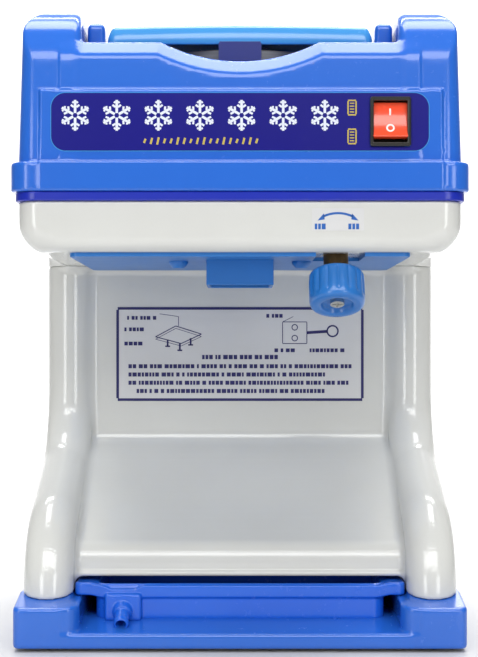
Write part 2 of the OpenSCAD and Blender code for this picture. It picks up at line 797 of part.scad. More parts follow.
module drum_screws() color(steel)
    for (p = spacer_points()) {
        post(p[0], p[1], drum_base - 1.5, drum_base, 4);
        post(p[0], p[1], head_z + 0.5, drum_base - 1, 2);
    }

module rotor() color(steel) difference() {
    union() {
        post(0, drum_y, rotor_z, rotor_z + hub_h, hub_r);
        for (i = [0:vane_count - 1])
            translate([0, drum_y, rotor_z]) rotate([0, 0, vane_start + i * 360 / vane_count])
            translate([hub_r - 3, -vane_t / 2, 0]) cube([drum_r - 3 - hub_r + 3, vane_t, vane_h]);
    }
    post(0, drum_y, rotor_z - eps, rotor_z + hub_h + eps, shaft_r + snug);
}

module rotor_shaft() color(dark_steel) post(0, drum_y, shaft_foot, rotor_z + hub_h + 8, shaft_r);

module rotor_nut() color(steel) {
    difference() {
        translate([0, drum_y, rotor_z + hub_h]) cylinder(h = 7, r = 10, $fn = 6);
        post(0, drum_y, rotor_z, rotor_z + hub_h + 7 + eps, shaft_r + snug);
    }
}

module bearings() color(dark_steel)
    for (z = [housing_z + 0.5, housing_z + 0.5 + bearing_t + 1])
        ring(0, drum_y, z, z + bearing_t, bearing_r, shaft_r + run_gap);

module pulley(y, r, bore) difference() {
    union() {
        post(0, y, pulley_z, pulley_z + pulley_h, r);
        post(0, y, pulley_z, pulley_z + lip_t, r + pulley_lip);
        post(0, y, pulley_z + pulley_h - lip_t, pulley_z + pulley_h, r + pulley_lip);
    }
    post(0, y, pulley_z - eps, pulley_z + pulley_h + eps, bore);
}

module driven_pulley() color(dark_steel) pulley(drum_y, driven_r, shaft_r + snug);
module motor_pulley() color(dark_steel) pulley(motor_y, motor_pulley_r, motor_shaft_r + snug);

// Outline of an open belt at a distance outside both pulleys
module belt_outline(gap) {
    big = driven_r + gap;
    small = motor_pulley_r + gap;
    lean = asin((big - small) / (motor_y - drum_y));
    polygon(concat(arc([0, drum_y], big, lean, -180 - lean, 48), arc([0, motor_y], small, 180 - lean, lean, 24)));
}

module belt() color(black) translate([0, 0, pulley_z + lip_t + 0.5])
linear_extrude(pulley_h - 2 * lip_t - 1) difference() {
    belt_outline(belt_gap + belt_t);
    belt_outline(belt_gap);
}

// ---- Motor ----

module motor() color(dark_steel) difference() {
    union() {
        post(0, motor_y, motor_top - motor_h, motor_top - motor_flange_t + eps, motor_r);
        translate([0, motor_y, motor_top - motor_flange_t]) linear_extrude(motor_flange_t)
            rounded(-motor_flange / 2, motor_flange / 2, -motor_flange / 2, motor_flange / 2, 8);
        for (a = [0:15:345]) translate([0, motor_y, motor_top - motor_h + 15]) rotate([0, 0, a])
            translate([motor_r - 1, -1, 0]) cube([motor_fin, 2, motor_h - 35]);
    }
    post(0, motor_y, motor_shaft_foot - 1, motor_top + eps, motor_shaft_r + run_gap);
    post(0, motor_y, armature_foot - end_gap, armature_top + end_gap, armature_r + air_gap);
    motor_bolt_holes(motor_top - motor_flange_t - eps, motor_top + eps, bolt_r + snug);
    motor_bolt_holes(motor_top - motor_h, motor_top - motor_flange_t, 7);
}

module motor_shaft() color(steel) post(0, motor_y, motor_shaft_foot, pulley_z + pulley_h + 2, motor_shaft_r);

module motor_armature() color(dark_steel)
    ring(0, motor_y, armature_foot, armature_top, armature_r, motor_shaft_r + snug);

module motor_bracket() color(steel) difference() {
    translate([0, motor_y, motor_top]) linear_extrude(head_z - motor_top)
        rounded(-bracket_half, bracket_half, -motor_flange / 2 - 2, motor_flange / 2 + 2, 6);
    post(0, motor_y, motor_top - eps, head_z + eps, 20);
    motor_bolt_holes(motor_top - eps, head_z + eps, bolt_r + snug);
}

module motor_bolts() color(steel) {
    motor_bolt_holes(motor_top - motor_flange_t - bolt_head_h, motor_top - motor_flange_t, bolt_head_r);
    motor_bolt_holes(motor_top - motor_flange_t - eps, head_floor + bolt_head_h + 4, bolt_r);
    motor_bolt_holes(head_floor, head_floor + bolt_head_h, bolt_head_r);
}

module capacitor() color([0.75, 0.75, 0.73]) {
    post(cap_at[0], cap_at[1], deck_z, deck_z + cap_h, cap_r);
    for (x = [-5, 5]) block(cap_at[0] + x - 0.4, cap_at[0] + x + 0.4, cap_at[1] - 3, cap_at[1] + 3,
        deck_z + cap_h - 1, deck_z + cap_h + 9);
}

module capacitor_clip() color(steel) {
    ring(cap_at[0], cap_at[1], deck_z + 22, deck_z + 36, cap_r + 1.6, cap_r + snug);
    block(cap_at[0] - cap_r - 9, cap_at[0] - cap_r - 0.5, cap_at[1] - 6, cap_at[1] + 6, deck_z, deck_z + 1.6);
    block(cap_at[0] - cap_r - 2.1, cap_at[0] - cap_r - 0.5, cap_at[1] - 6, cap_at[1] + 6, deck_z, deck_z + 36);
}

// ---- Blade ----

// Frame of the blade: origin on the middle of its cutting edge, X down its slope
module on_blade() {
    translate([blade_x, blade_y, drum_base + blade_lift]) rotate([0, blade_tilt, 0]) children();
}

module blade() color(steel) on_blade() difference() {
    translate([0, blade_l / 2, 0]) rotate([90, 0, 0]) linear_extrude(blade_l)
        polygon([[0, 0], [blade_w, 0], [blade_w, -blade_t], [5, -blade_t]]);
    for (y = [-1, 1]) translate([bolt_back, y * bolt_pitch, 0]) {
        translate([0, 0, -blade_t - eps]) cylinder(h = blade_t + 2 * eps, r = 2.5 + snug);
        translate([0, 0, -1]) cylinder(h = 1 + eps, r = 4.2);
    }
}

module blade_bolts() color(dark_steel) on_blade()
    for (y = [-1, 1]) translate([bolt_back, y * bolt_pitch, 0]) {
        translate([0, 0, -1]) cylinder(h = 1, r = 4);
        translate([0, 0, -blade_t - holder_h + 1]) cylinder(h = blade_t + holder_h - 1.5, r = 2.5);
    }

module blade_holder() color(dark_steel) difference() {
    union() {
        on_blade() translate([7, -blade_l / 2, -blade_t - holder_h]) cube([blade_w - 3, blade_l, holder_h]);
        arm_y = knob_face[1] + arm_at * sin(knob_tilt);
        arm_z = knob_face[2] + arm_at * cos(knob_tilt);
        block(blade_x + 18, knob_x - 4, arm_y - 5, arm_y + 5, arm_z - 5, arm_z + 3);
        on_spindle(nut_from) cylinder(h = nut_to - nut_from, r = 8.5);
    }
    on_spindle(nut_from - 1) cylinder(h = nut_to - nut_from + 2, r = spindle_r + run_gap);
    on_blade() for (y = [-1, 1]) translate([bolt_back, y * bolt_pitch, -blade_t - holder_h + 1 - snug])
        cylinder(h = holder_h, r = 2.5 + snug);
}

// ---- Knob ----

module adjusting_knob() color(light_blue) on_spindle(0) difference() {
    cylinder(h = knob_l, r = knob_d / 2);
    for (i = [0:flute_count - 1]) rotate([0, 0, i * 360 / flute_count])
        translate([knob_d / 2 + 1.6, 0, 3]) cylinder(h = knob_l - 6, r = 3);
    translate([0, 0, -eps]) cylinder(h = knob_recess + eps, r = knob_recess_r);
    translate([0, 0, spindle_from]) cylinder(h = knob_l, r = spindle_r + snug);
    cylinder(h = knob_l, r = 2 + snug);
}

module knob_screw() color(steel) on_spindle(0) {
    translate([0, 0, 1.5]) difference() {
        cylinder(h = 2.5, r = 4.5);
        translate([-0.6, -3, -eps]) cube([1.2, 6, 1 + eps]);
        translate([-3, -0.6, -eps]) cube([6, 1.2, 1 + eps]);
    }
    translate([0, 0, 3]) cylinder(h = 13, r = 2);
}

module adjusting_screw() color(steel) on_spindle(0) difference() {
    translate([0, 0, spindle_from]) cylinder(h = spindle_to - spindle_from, r = spindle_r);
    translate([0, 0, spindle_from - eps]) cylinder(h = 10, r = 2 + snug);
}

module screw_bush() color([0.78, 0.62, 0.30]) on_spindle(0) difference() {
    union() {
        translate([0, 0, bush_from]) cylinder(h = bush_to - bush_from, r = bush_r);
        translate([0, 0, bush_to - 3]) cylinder(h = 3, r = bush_r + 3);
    }
    translate([0, 0, bush_from - eps]) cylinder(h = bush_to, r = spindle_r + run_gap);
}

// ---- Outlet ----

module outlet_plate() color(light_blue) difference() {
    translate([0, 0, head_z - plate_t]) linear_extrude(plate_t)
        rounded(-plate_half, plate_half, plate_front, wall_y - 2, 5);
    block(knob_x - notch[0], knob_x + notch[1], front_y, notch_back, head_z - plate_t - eps, head_z + eps);
    block(-chute_w / 2 - free, chute_w / 2 + free, chute_front - free, chute_rear + free,
        head_z - plate_t - eps, head_z + eps);
    for (p = plate_bolt_points()) post(p[0], p[1], head_z - plate_t - eps, head_z + eps, bolt_r + snug);
}

module plate_bolts() color(steel) {
    for (p = plate_bolt_points()) {
        post(p[0], p[1], head_z - plate_t - eps, head_floor + 1, bolt_r);
        intersection() {
            translate([p[0], p[1], head_z - plate_t + 1.5]) sphere(dome_r);
            post(p[0], p[1], head_z - plate_t - 4.5, head_z - plate_t, dome_head_r);
        }
    }
}

module outlet_chute() color(light_blue) difference() {
    union() {
        block(-chute_w / 2, chute_w / 2, chute_front, chute_rear, chute_z, chute_top);
        block(-chute_w / 2 - 4, chute_w / 2 + 4, chute_front - 4, chute_rear, head_floor, head_floor + 1.6);
    }
    block(-chute_w / 2 + chute_wall, chute_w / 2 - chute_wall, chute_front + chute_wall, chute_rear - chute_wall,
        chute_z - eps, chute_top + eps);
}

// ---- Drip tray ----

module on_spout() {
    translate(spout_root) rotate([90 + spout_tilt, 0, 0]) children();
}

module drip_tray() color([0.12, 0.33, 0.85]) difference() {
    union() {
        translate([0, 0, tray_floor]) linear_extrude(tray_top - tray_floor)
            rounded(-tray_half, tray_half, tray_front, tray_rear, 8);
        translate([0, 0, tray_top - rim_t]) linear_extrude(rim_t)
            rounded(-tray_rim_half, tray_rim_half, tray_front - 2, tray_rear + 2, 6);
        block(spout_x - spout_block_half, spout_x + spout_block_half, tray_front - 5, tray_front + 3,
            tray_floor, deck_z);
        on_spout() {
            cylinder(h = spout_l, r = spout_r);
            cylinder(h = collar_l, r = spout_r + 1.2);
        }
    }
    translate([0, 0, tray_floor + tray_wall]) linear_extrude(tray_top)
        rounded(-tray_half + tray_wall, tray_half - tray_wall, tray_front + tray_wall, tray_rear - tray_wall, 6);
    on_spout() translate([0, 0, -8]) cylinder(h = spout_l + 10, r = spout_bore_r);
}

// ---- Labels ----

module instruction_plate() color([0.80, 0.80, 0.78])
    through(wall_y - label_t, wall_y) rounded(-label_half, label_half, label_z[0], label_z[1], 1.5);

module arrow_label() color([0.80, 0.80, 0.78])
    through(face_y - arrow_t, face_y) rounded(arrow_x[0], arrow_x[1], arrow_z[0], arrow_z[1], 0.8);

base();
base_plate();
rubber_feet();
base_screws();
body_shell();
rear_cover();
rear_screws();
head_shell();
head_seal();
top_cover();
name_panel();
gold_marks();
switch_body();
switch_rocker();
lid();
lid_tab();
hinge_pins();
drum();
drum_spacers();
drum_screws();
rotor();
rotor_shaft();
rotor_nut();
bearings();
driven_pulley();
belt();
motor_pulley();
motor_shaft();
motor_armature();
motor();
motor_bracket();
motor_bolts();
capacitor();
capacitor_clip();
blade();
blade_holder();
blade_bolts();
outlet_plate();
plate_bolts();
outlet_chute();
adjusting_knob();
adjusting_screw();
knob_screw();
screw_bush();
drip_tray();
cord_gland();
instruction_plate();
arrow_label();
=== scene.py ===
import json
import math
import random

import bmesh
import bpy
import numpy as np
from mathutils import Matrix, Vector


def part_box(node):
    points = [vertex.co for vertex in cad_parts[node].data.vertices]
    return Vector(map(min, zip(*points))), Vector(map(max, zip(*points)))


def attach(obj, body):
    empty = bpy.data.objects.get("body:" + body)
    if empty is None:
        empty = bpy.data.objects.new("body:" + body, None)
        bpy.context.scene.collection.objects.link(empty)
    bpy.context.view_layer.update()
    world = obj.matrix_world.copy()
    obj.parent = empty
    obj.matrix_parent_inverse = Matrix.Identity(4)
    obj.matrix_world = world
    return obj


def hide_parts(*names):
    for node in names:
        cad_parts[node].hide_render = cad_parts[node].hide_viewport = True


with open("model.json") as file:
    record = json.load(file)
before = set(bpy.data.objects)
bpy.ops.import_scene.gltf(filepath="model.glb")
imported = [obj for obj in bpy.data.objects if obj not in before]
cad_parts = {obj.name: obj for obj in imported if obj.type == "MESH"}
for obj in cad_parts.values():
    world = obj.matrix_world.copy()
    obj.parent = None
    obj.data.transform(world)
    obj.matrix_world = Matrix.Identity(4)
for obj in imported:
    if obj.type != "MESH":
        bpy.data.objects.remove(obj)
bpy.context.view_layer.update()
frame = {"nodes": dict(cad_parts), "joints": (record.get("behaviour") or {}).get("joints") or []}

import openvdb
from mathutils import Vector

mm = 0.001
scene = bpy.context.scene
nodes = frame["nodes"]
joints = {j["name"]: j for j in frame["joints"]}


def boxMm(name):  # a CAD node's corners in millimetres
    low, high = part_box(name)
    return [v / mm for v in low], [v / mm for v in high]


# The stations that every moulded piece is built from, in millimetres
coverLow, coverHigh = boxMm("top_cover")
headLow, headHigh = boxMm("head_shell")
bodyHigh = boxMm("body_shell")[1]
baseLow, baseHigh = boxMm("base")
trayLow, trayHigh = boxMm("drip_tray")
lidLow, lidHigh = boxMm("lid")
labelLow, labelHigh = boxMm("instruction_plate")
drumLow, drumHigh = boxMm("drum")
hingeAt = [v / mm for v in joints["lid_hinge"]["pos_m"]]
frontFace = headLow[1]
rearFace = headHigh[1]
wallY = labelHigh[1]
deckZ = coverHigh[2] - 31  # the cover's deck, under the lid
rimZ = coverHigh[2] - 24  # the cover's rim, between the horns
deckTop = baseHigh[2]  # the base's level upper surface
drumY = (drumLow[1] + drumHigh[1]) / 2


class Wire:
    # one output of a node, so that maths on it reads as maths
    def __init__(self, paint, socket):
        self.paint = paint
        self.socket = socket

    def join(self, op, other, flip=False):
        a, b = (other, self) if flip else (self, other)
        wide = any(isinstance(w, Wire) and w.socket.type in ("VECTOR", "RGBA") for w in (a, b))
        if wide:
            a, b = ((w, w, w) if isinstance(w, (int, float)) else w for w in (a, b))
            return self.paint.node("ShaderNodeVectorMath", {"operation": op}, {0: a, 1: b})
        return self.paint.node("ShaderNodeMath", {"operation": op}, {0: a, 1: b})

    def __add__(self, other):
        return self.join("ADD", other)

    def __radd__(self, other):
        return self.join("ADD", other, True)

    def __sub__(self, other):
        return self.join("SUBTRACT", other)

    def __rsub__(self, other):
        return self.join("SUBTRACT", other, True)

    def __mul__(self, other):
        return self.join("MULTIPLY", other)

    def __rmul__(self, other):
        return self.join("MULTIPLY", other, True)

    def between(self, low, high, toLow=0.0, toHigh=1.0):
        limits = {"From Min": low, "From Max": high, "To Min": toLow, "To Max": toHigh}
        return self.paint.node("ShaderNodeMapRange", {"interpolation_type": "SMOOTHSTEP"},
                               {"Value": self, **limits})


class Paint:
    # a material under construction
    def __init__(self, name):
        self.material = bpy.data.materials.new(name)
        self.material.use_nodes = True
        self.tree = self.material.node_tree
        self.shader = self.tree.nodes["Principled BSDF"]

    def node(self, kind, settings=None, inputs=None, out=0):
        made = self.tree.nodes.new(kind)
        for key, value in (settings or {}).items():
            if key == "stops":
                ramp = made.color_ramp.elements
                while len(ramp) < len(value):
                    ramp.new(0.5)
                for stop, (place, colour) in zip(ramp, value):
                    stop.position = place
                    stop.color = (*colour, 1)
            else:
                setattr(made, key, value)
        for key, value in (inputs or {}).items():
            self.feed(made.inputs[key], value)
        return Wire(self, made.outputs[out])

    def feed(self, socket, value):
        if isinstance(value, Wire):
            self.tree.links.new(value.socket, socket)
        elif socket.type == "RGBA" and len(value) == 3:
            socket.default_value = (*value, 1)
        else:
            socket.default_value = value

    def set(self, **values):
        for key, value in values.items():
            self.feed(self.shader.inputs[key.replace("_", " ")], value)

    def place(self):
        return self.node("ShaderNodeTexCoord", out="Object")

    def noise(self, scale, detail=2.0, roughness=0.5, at=None):
        grain = {"Scale": scale, "Detail": detail, "Roughness": roughness}
        return self.node("ShaderNodeTexNoise", {}, {"Vector": at or self.place(), **grain})

    def mix(self, factor, a, b):
        return self.node("ShaderNodeMix", {"data_type": "RGBA"}, {0: factor, 6: a, 7: b}, 2)

    def bump(self, height, strength, distance):
        return self.node("ShaderNodeBump", {}, {"Height": height, "Strength": strength, "Distance": distance})


def plastic(name, colour, deep, rough=0.22, coat=0.35, grain=0.04, specular=0.5, scuffs=0.08):
    # a moulded plastic: slow colour drift, faint orange peel, fine scuffs that roughen it
    p = Paint(name)
    drift = p.noise(9, 3, 0.6).between(0.35, 0.65)
    speck = p.noise(900, 2, 0.5).between(0.4, 0.6)
    scuff = p.noise(160, 6, 0.75).between(0.55, 0.72)
    peel = p.noise(420, 2, 0.5)
    p.set(Base_Color=p.mix(drift * 0.55 + speck * 0.08, colour, deep),
          Roughness=rough + scuff * scuffs + drift * 0.04,
          Normal=p.bump(peel, grain, 0.0004), Coat_Weight=coat, Coat_Roughness=0.06,
          Specular_IOR_Level=specular)
    return p.material


def metal(name, colour, rough=0.3, streak=(4, 4, 260), wear=0.12, grain=0.15):
    # a metal with fine marks drawn out along one direction
    p = Paint(name)
    along = p.node("ShaderNodeMapping", {}, {"Vector": p.place(), "Scale": streak})
    marks = p.noise(6, 5, 0.65, along)
    stain = p.noise(14, 4, 0.6).between(0.4, 0.7)
    dark = tuple(c * 0.72 for c in colour)
    p.set(Base_Color=p.mix(marks.between(0.3, 0.7) * 0.35 + stain * 0.25, colour, dark), Metallic=1.0,
          Roughness=rough + marks.between(0.3, 0.7) * wear + stain * 0.06,
          Normal=p.bump(marks, grain, 0.0002))
    return p.material


def rubber(name, colour):
    p = Paint(name)
    grit = p.noise(700, 4, 0.7)
    dust = p.noise(40, 4, 0.6).between(0.5, 0.75)
    p.set(Base_Color=p.mix(dust * 0.5, colour, tuple(c * 2.4 + 0.02 for c in colour)),
          Roughness=0.62 + grit.between(0.3, 0.7) * 0.2, Normal=p.bump(grit, 0.25, 0.0003))
    return p.material


finishes = {
    "blue": plastic("mouldedBlue", (0.02, 0.136, 0.6), (0.016, 0.12, 0.56), rough=0.2, coat=0.4),
    "lidBlue": plastic("lidBlue", (0.055, 0.3, 0.66), (0.045, 0.265, 0.62), rough=0.2, coat=0.4),
    "white": plastic("mouldedWhite", (0.66, 0.665, 0.635), (0.62, 0.622, 0.592), rough=0.16, coat=0.5),
    "deepBlue": plastic("sealBlue", (0.006, 0.022, 0.4), (0.005, 0.018, 0.34), rough=0.3, coat=0.15),
    "navy": plastic("panelNavy", (0.003, 0.002, 0.19), (0.003, 0.002, 0.165), rough=0.35, coat=0.0,
                    grain=0.02, specular=0.25),
    # the lid's tab is a darkened navy copy of the blue: painted shade for the shadow under the lid's front
    # edge
    "tabPaintedShade": plastic("tabPaintedShade", (0.01, 0.022, 0.2), (0.008, 0.018, 0.16), rough=0.3),
    "black": plastic("switchBlack", (0.012, 0.011, 0.009), (0.008, 0.008, 0.007), rough=0.3, coat=0.15,
                     grain=0.12),
    "rocker": plastic("rockerOrange", (0.93, 0.085, 0.025), (0.86, 0.065, 0.02), rough=0.2, coat=0.5),
    "knob": plastic("knobBlue", (0.02, 0.17, 0.52), (0.016, 0.145, 0.47), rough=0.26, coat=0.25, grain=0.06),
    "plate": plastic("plateBlue", (0.014, 0.165, 0.52), (0.011, 0.14, 0.46), rough=0.4, coat=0.1),
    "tray": plastic("trayBlue", (0.012, 0.13, 0.68), (0.01, 0.11, 0.62), rough=0.22, coat=0.3),
    "print": plastic("printWhite", (0.72, 0.76, 0.85), (0.66, 0.7, 0.8), rough=0.4, coat=0.0),
    "gold": plastic("printGold", (0.52, 0.4, 0.08), (0.45, 0.34, 0.06), rough=0.35, coat=0.1),
    "paper": plastic("labelGrey", (0.64, 0.642, 0.64), (0.6, 0.602, 0.6), rough=0.35, coat=0.2, grain=0.02),
    "ink": plastic("printInk", (0.006, 0.006, 0.11), (0.005, 0.005, 0.09), rough=0.45, coat=0.0),
    "arrow": plastic("arrowBlue", (0.012, 0.11, 0.42), (0.01, 0.09, 0.37), rough=0.4, coat=0.0),
    "mark": plastic("markWhite", (0.85, 0.83, 0.8), (0.8, 0.78, 0.75), rough=0.35, coat=0.0),
    "grey": plastic("caseGrey", (0.42, 0.42, 0.41), (0.37, 0.37, 0.36), rough=0.4, coat=0.0, grain=0.1),
    "enamel": plastic("motorEnamel", (0.02, 0.022, 0.024), (0.014, 0.015, 0.017), rough=0.35, coat=0.2,
                      grain=0.3),
    "stainless": metal("stainless", (0.62, 0.63, 0.64), rough=0.26),
    "drumSteel": metal("drumSteel", (0.15, 0.155, 0.17), rough=0.45),
    "zinc": metal("zincPlate", (0.6, 0.6, 0.57), rough=0.3, streak=(40, 40, 40)),
    "alloy": metal("castAlloy", (0.52, 0.53, 0.54), rough=0.42, streak=(60, 60, 60), grain=0.5),
    # the bush's bronze is darkened well below real bronze: painted shade for the shadow between the knob and
    # the plate
    "bronze": metal("bronze", (0.2, 0.13, 0.06), rough=0.42, streak=(60, 60, 60)),
    "rubber": rubber("blackRubber", (0.012, 0.012, 0.012)),
}
print("finishes ready:", len(finishes))


def spaceOf(low, high, step):
    # a block of sample points with a margin of three steps
    axes = [np.arange(low[i] - 3 * step, high[i] + 3.5 * step, step, dtype=np.float32) for i in range(3)]
    x, y, z = np.meshgrid(*axes, indexing="ij", sparse=True)
    return {"x": x, "y": y, "z": z, "step": step, "start": np.array([a[0] for a in axes])}


def either(a, b, r=0.0):  # joins two forms, with a fillet of radius r where they meet
    if np.isscalar(r) and r <= 0:
        return np.minimum(a, b)
    u = np.maximum(r - a, 0)
    v = np.maximum(r - b, 0)
    return np.maximum(r, np.minimum(a, b)) - np.sqrt(u * u + v * v)


def both(a, b, r=0.0):  # what two forms share, with its edge rounded to radius r
    if np.isscalar(r) and r <= 0:
        return np.maximum(a, b)
    return -either(-a, -b, r)


def without(a, b, r=0.0):  # the first form with the second cut out of it
    return both(a, -b, r)


def band(value, low, high):  # a slab between two planes
    return np.maximum(low - value, value - high)


def rect(u, v, low, high, r):  # a rectangle with round corners
    p = np.abs(u - (low[0] + high[0]) / 2) - (high[0] - low[0]) / 2 + r
    q = np.abs(v - (low[1] + high[1]) / 2) - (high[1] - low[1]) / 2 + r
    return np.sqrt(np.maximum(p, 0) ** 2 + np.maximum(q, 0) ** 2) + np.minimum(np.maximum(p, q), 0) - r


def rod(u, v, at, r):  # a round bar through a point
    return np.sqrt((u - at[0]) ** 2 + (v - at[1]) ** 2) - r


def flatBetween(a, b, run, rise):  # a flat that starts this far down one face and this far along the other
    return (a * rise + b * run + run * rise) / math.hypot(run, rise)


def chamfered(a, b, run, rise, r):  # what two forms share, with a flat between them and two soft edges
    flat = flatBetween(a, b, run, rise)
    return both(both(a, flat, r), both(b, flat, r))


def fall(start, end, u, v):  # distance above the line from start to end
    length = math.hypot(end[0] - start[0], end[1] - start[1])
    return ((v - start[1]) * (end[0] - start[0]) - (u - start[0]) * (end[1] - start[1])) / length


def sample(values, p):  # reads the block between its points
    i = np.clip(p.astype(int), 0, np.array(values.shape) - 2)
    f = (p - i).astype(np.float32)
    out = 0
    for dx in (0, 1):
        for dy in (0, 1):
            for dz in (0, 1):
                w = ((f[:, 0] if dx else 1 - f[:, 0]) * (f[:, 1] if dy else 1 - f[:, 1])
                     * (f[:, 2] if dz else 1 - f[:, 2]))
                out = out + w * values[i[:, 0] + dx, i[:, 1] + dy, i[:, 2] + dz]
    return out


def slopeOf(values, p):  # which way the field rises at each point
    g = np.empty_like(p)
    for axis in range(3):
        d = np.zeros(3)
        d[axis] = 0.7  # part of a step to each side
        g[:, axis] = sample(values, p + d) - sample(values, p - d)
    return g / np.maximum(np.linalg.norm(g, axis=1, keepdims=True), 1e-9)


def skin(name, s, field, finish, adapt=0.012):
    # the surface of a field as a mesh whose shading follows the field's own slope
    limit = 3 * s["step"]
    values = np.clip(np.broadcast_to(field, [s[k].size for k in "xyz"]), -limit, limit).astype(np.float32)
    grid = openvdb.FloatGrid(limit)
    grid.copyFromArray(values)
    points, triangles, quads = grid.convertToPolygons(0.0, adapt)
    points = points.astype(np.float64)
    for _ in range(2):  # two pulls back on to the field's own surface
        points -= slopeOf(values, points) * (sample(values, points) / s["step"])[:, None] * 0.8
    normals = slopeOf(values, points)
    faces = [list(map(int, f[::-1])) for kind in (triangles, quads) for f in kind]
    mesh = bpy.data.meshes.new(name)
    mesh.from_pydata(((points * s["step"] + s["start"]) * mm).tolist(), [], faces)
    mesh.update()
    if sum(f.normal.dot(Vector(normals[f.vertices[0]])) for f in list(mesh.polygons)[:400]) < 0:
        mesh.flip_normals()
    mesh.shade_smooth()
    mesh.normals_split_custom_set_from_vertices(normals.tolist())
    piece = bpy.data.objects.new(name, mesh)
    scene.collection.objects.link(piece)
    piece.data.materials.append(finishes[finish])
    print(name, len(faces), "faces")
    return piece


def settle(piece, body, slot, *replaced):  # the body it rides, its slot (not used), and the CAD nodes it stands for
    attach(piece, body)
    if replaced:
        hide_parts(*replaced)
    return piece


fine = 1.0  # the steps between sample points, in millimetres
medium = 1.25
finest = 0.8


cover = {
    "wall": 3.0, "draft": 0.030, "corner": 11,
    "rimRun": 6.5, "rimRise": 9.5, "rimEdge": 0.9,
    "cutHalf": 50, "cutDrop": 12,
    "hornInner": 100, "hornSide": 19, "hornEdge": 7, "hornRun": 13, "hornRise": 34, "hornLap": 12,
    "wellHalf": 100.5, "wellIn": 13, "wellCorner": 4, "wellEdge": 1.6,
    "troughHalf": 97, "troughEnd": 34, "troughDrop": 28, "troughCorner": 5,
    "earIn": 88, "earOut": 99.5, "earFront": 37, "earRear": 9,
    "lugIn": 74.4, "lugOut": 82.2, "lugRadius": 5.4, "pinBore": 2.55,
    "flangeHalf": 144.5, "flangeTop": 18.4, "flangeOut": 4.5, "flangeHollow": 137,
    "flangeWall": 3.5, "flangeEdge": 1.6,
    "padHalf": 125.5, "padTop": 64, "padStep": 0.5, "padDepth": 2.5,
    "drumHole": 83.5, "bezelLap": 1.3,
}


def makeCover():
    c = cover
    s = spaceOf(coverLow, coverHigh, fine)
    x, y, z = s["x"], s["y"], s["z"]
    ax = np.abs(x)
    half = coverHigh[0] - c["flangeOut"]
    flangeTop = coverLow[2] + c["flangeTop"]
    lean = np.maximum(z - flangeTop, 0) * c["draft"]
    outline = rect(x, y, (-half, frontFace + c["padStep"]), (half, rearFace), c["corner"]) + lean
    top = coverHigh[2]
    # middle part with the finger cut-out in its front rim
    cutR = (c["cutHalf"] ** 2 + c["cutDrop"] ** 2) / (2 * c["cutDrop"])
    cut = cutR - np.sqrt(x ** 2 + (z - (rimZ - c["cutDrop"] + cutR)) ** 2)
    crest = np.where(y < 0, np.maximum(z - rimZ, cut), z - rimZ)
    middle = chamfered(outline, crest, c["rimRun"], c["rimRise"], c["rimEdge"])
    # horns: a crease at the front and rear, a slope above it, then a round top
    ends = np.abs(y) - rearFace + lean
    slope = flatBetween(ends, z - top, c["hornRun"], c["hornRise"])
    horn = both(both(outline, slope, 1.5), z - top, c["hornSide"])
    horn = both(horn, c["hornInner"] - ax, c["hornEdge"])
    solid = either(both(middle, ax - c["hornInner"] - c["hornLap"]), horn, 3)
    # well for the lid, and the deeper trough for fingers
    wellFront, wellRear = frontFace + c["wellIn"], rearFace - c["wellIn"]
    well = rect(x, y, (-c["wellHalf"], wellFront), (c["wellHalf"], wellRear), c["wellCorner"])
    well = both(well, deckZ - z, 1.5)
    troughRear = frontFace + c["troughEnd"]
    trough = rect(x, y, (-c["troughHalf"], wellFront), (c["troughHalf"], troughRear), c["troughCorner"])
    trough = both(trough, deckZ - c["troughDrop"] - z, 4)
    well = either(well, trough, 1.5)
    opened = without(solid, well, c["wellEdge"])
    hollow = both(solid + c["wall"], -(well - c["wall"]))
    opened = without(opened, hollow)
    # ears beside the lid, and the lugs that hold its pins
    ear = rect(ax, y, (c["earIn"], frontFace + c["earFront"]), (c["earOut"], hingeAt[1] - c["earRear"]), 3)
    ear = both(ear, band(z, deckZ - 2, lidHigh[2] + 0.2), 4)
    opened = either(opened, ear, 1.2)
    eye = rod(y, z, hingeAt[1:], c["lugRadius"])
    post = both(band(y, hingeAt[1] - c["lugRadius"], hingeAt[1] + c["lugRadius"]),
                band(z, deckZ - 1, hingeAt[2]))
    lug = both(either(eye, post), band(ax, c["lugIn"], c["lugOut"]), 0.8)
    opened = either(opened, without(lug, rod(y, z, hingeAt[1:], c["pinBore"])), 1)
    # flange, with the flat pad running down over it
    rim = c["flangeHalf"]
    flange = rect(x, y, (-rim, coverLow[1] + c["padStep"]), (rim, coverHigh[1]), c["corner"] + 2)
    flange = both(flange, z - flangeTop, c["flangeEdge"])
    flangeHollow = rect(x, y, (-c["flangeHollow"], frontFace + c["flangeWall"]),
                        (c["flangeHollow"], rearFace - c["flangeWall"]), c["corner"] - 3)
    opened = either(opened, without(flange, flangeHollow), 1.4)
    padOn = both(band(x, -c["padHalf"], c["padHalf"] + 1.5), z - coverLow[2] - c["padTop"])
    pad = both(padOn, band(y, frontFace, frontFace + c["padDepth"]), 0.4)
    apron = both(both(padOn, z - flangeTop), band(y, coverLow[1], coverLow[1] + c["padDepth"]), 0.5)
    opened = either(opened, either(pad, apron), 0.6)
    # holes for the drum and the switch
    opened = without(opened, both(rod(x, y, (0, drumY), c["drumHole"]), z - deckZ - 4))
    low, high = boxMm("switch_body")
    lap = c["bezelLap"]
    hole = rect(x, z, (low[0] + lap, low[2] + lap), (high[0] - lap, high[2] - lap), 1)
    opened = without(opened, both(hole, band(y, frontFace - 5, frontFace + 12)))
    opened = both(opened, coverLow[2] - z, 0.8)
    settle(skin("topCover", s, opened, "blue"), "housing", "blue_plastic", "top_cover")


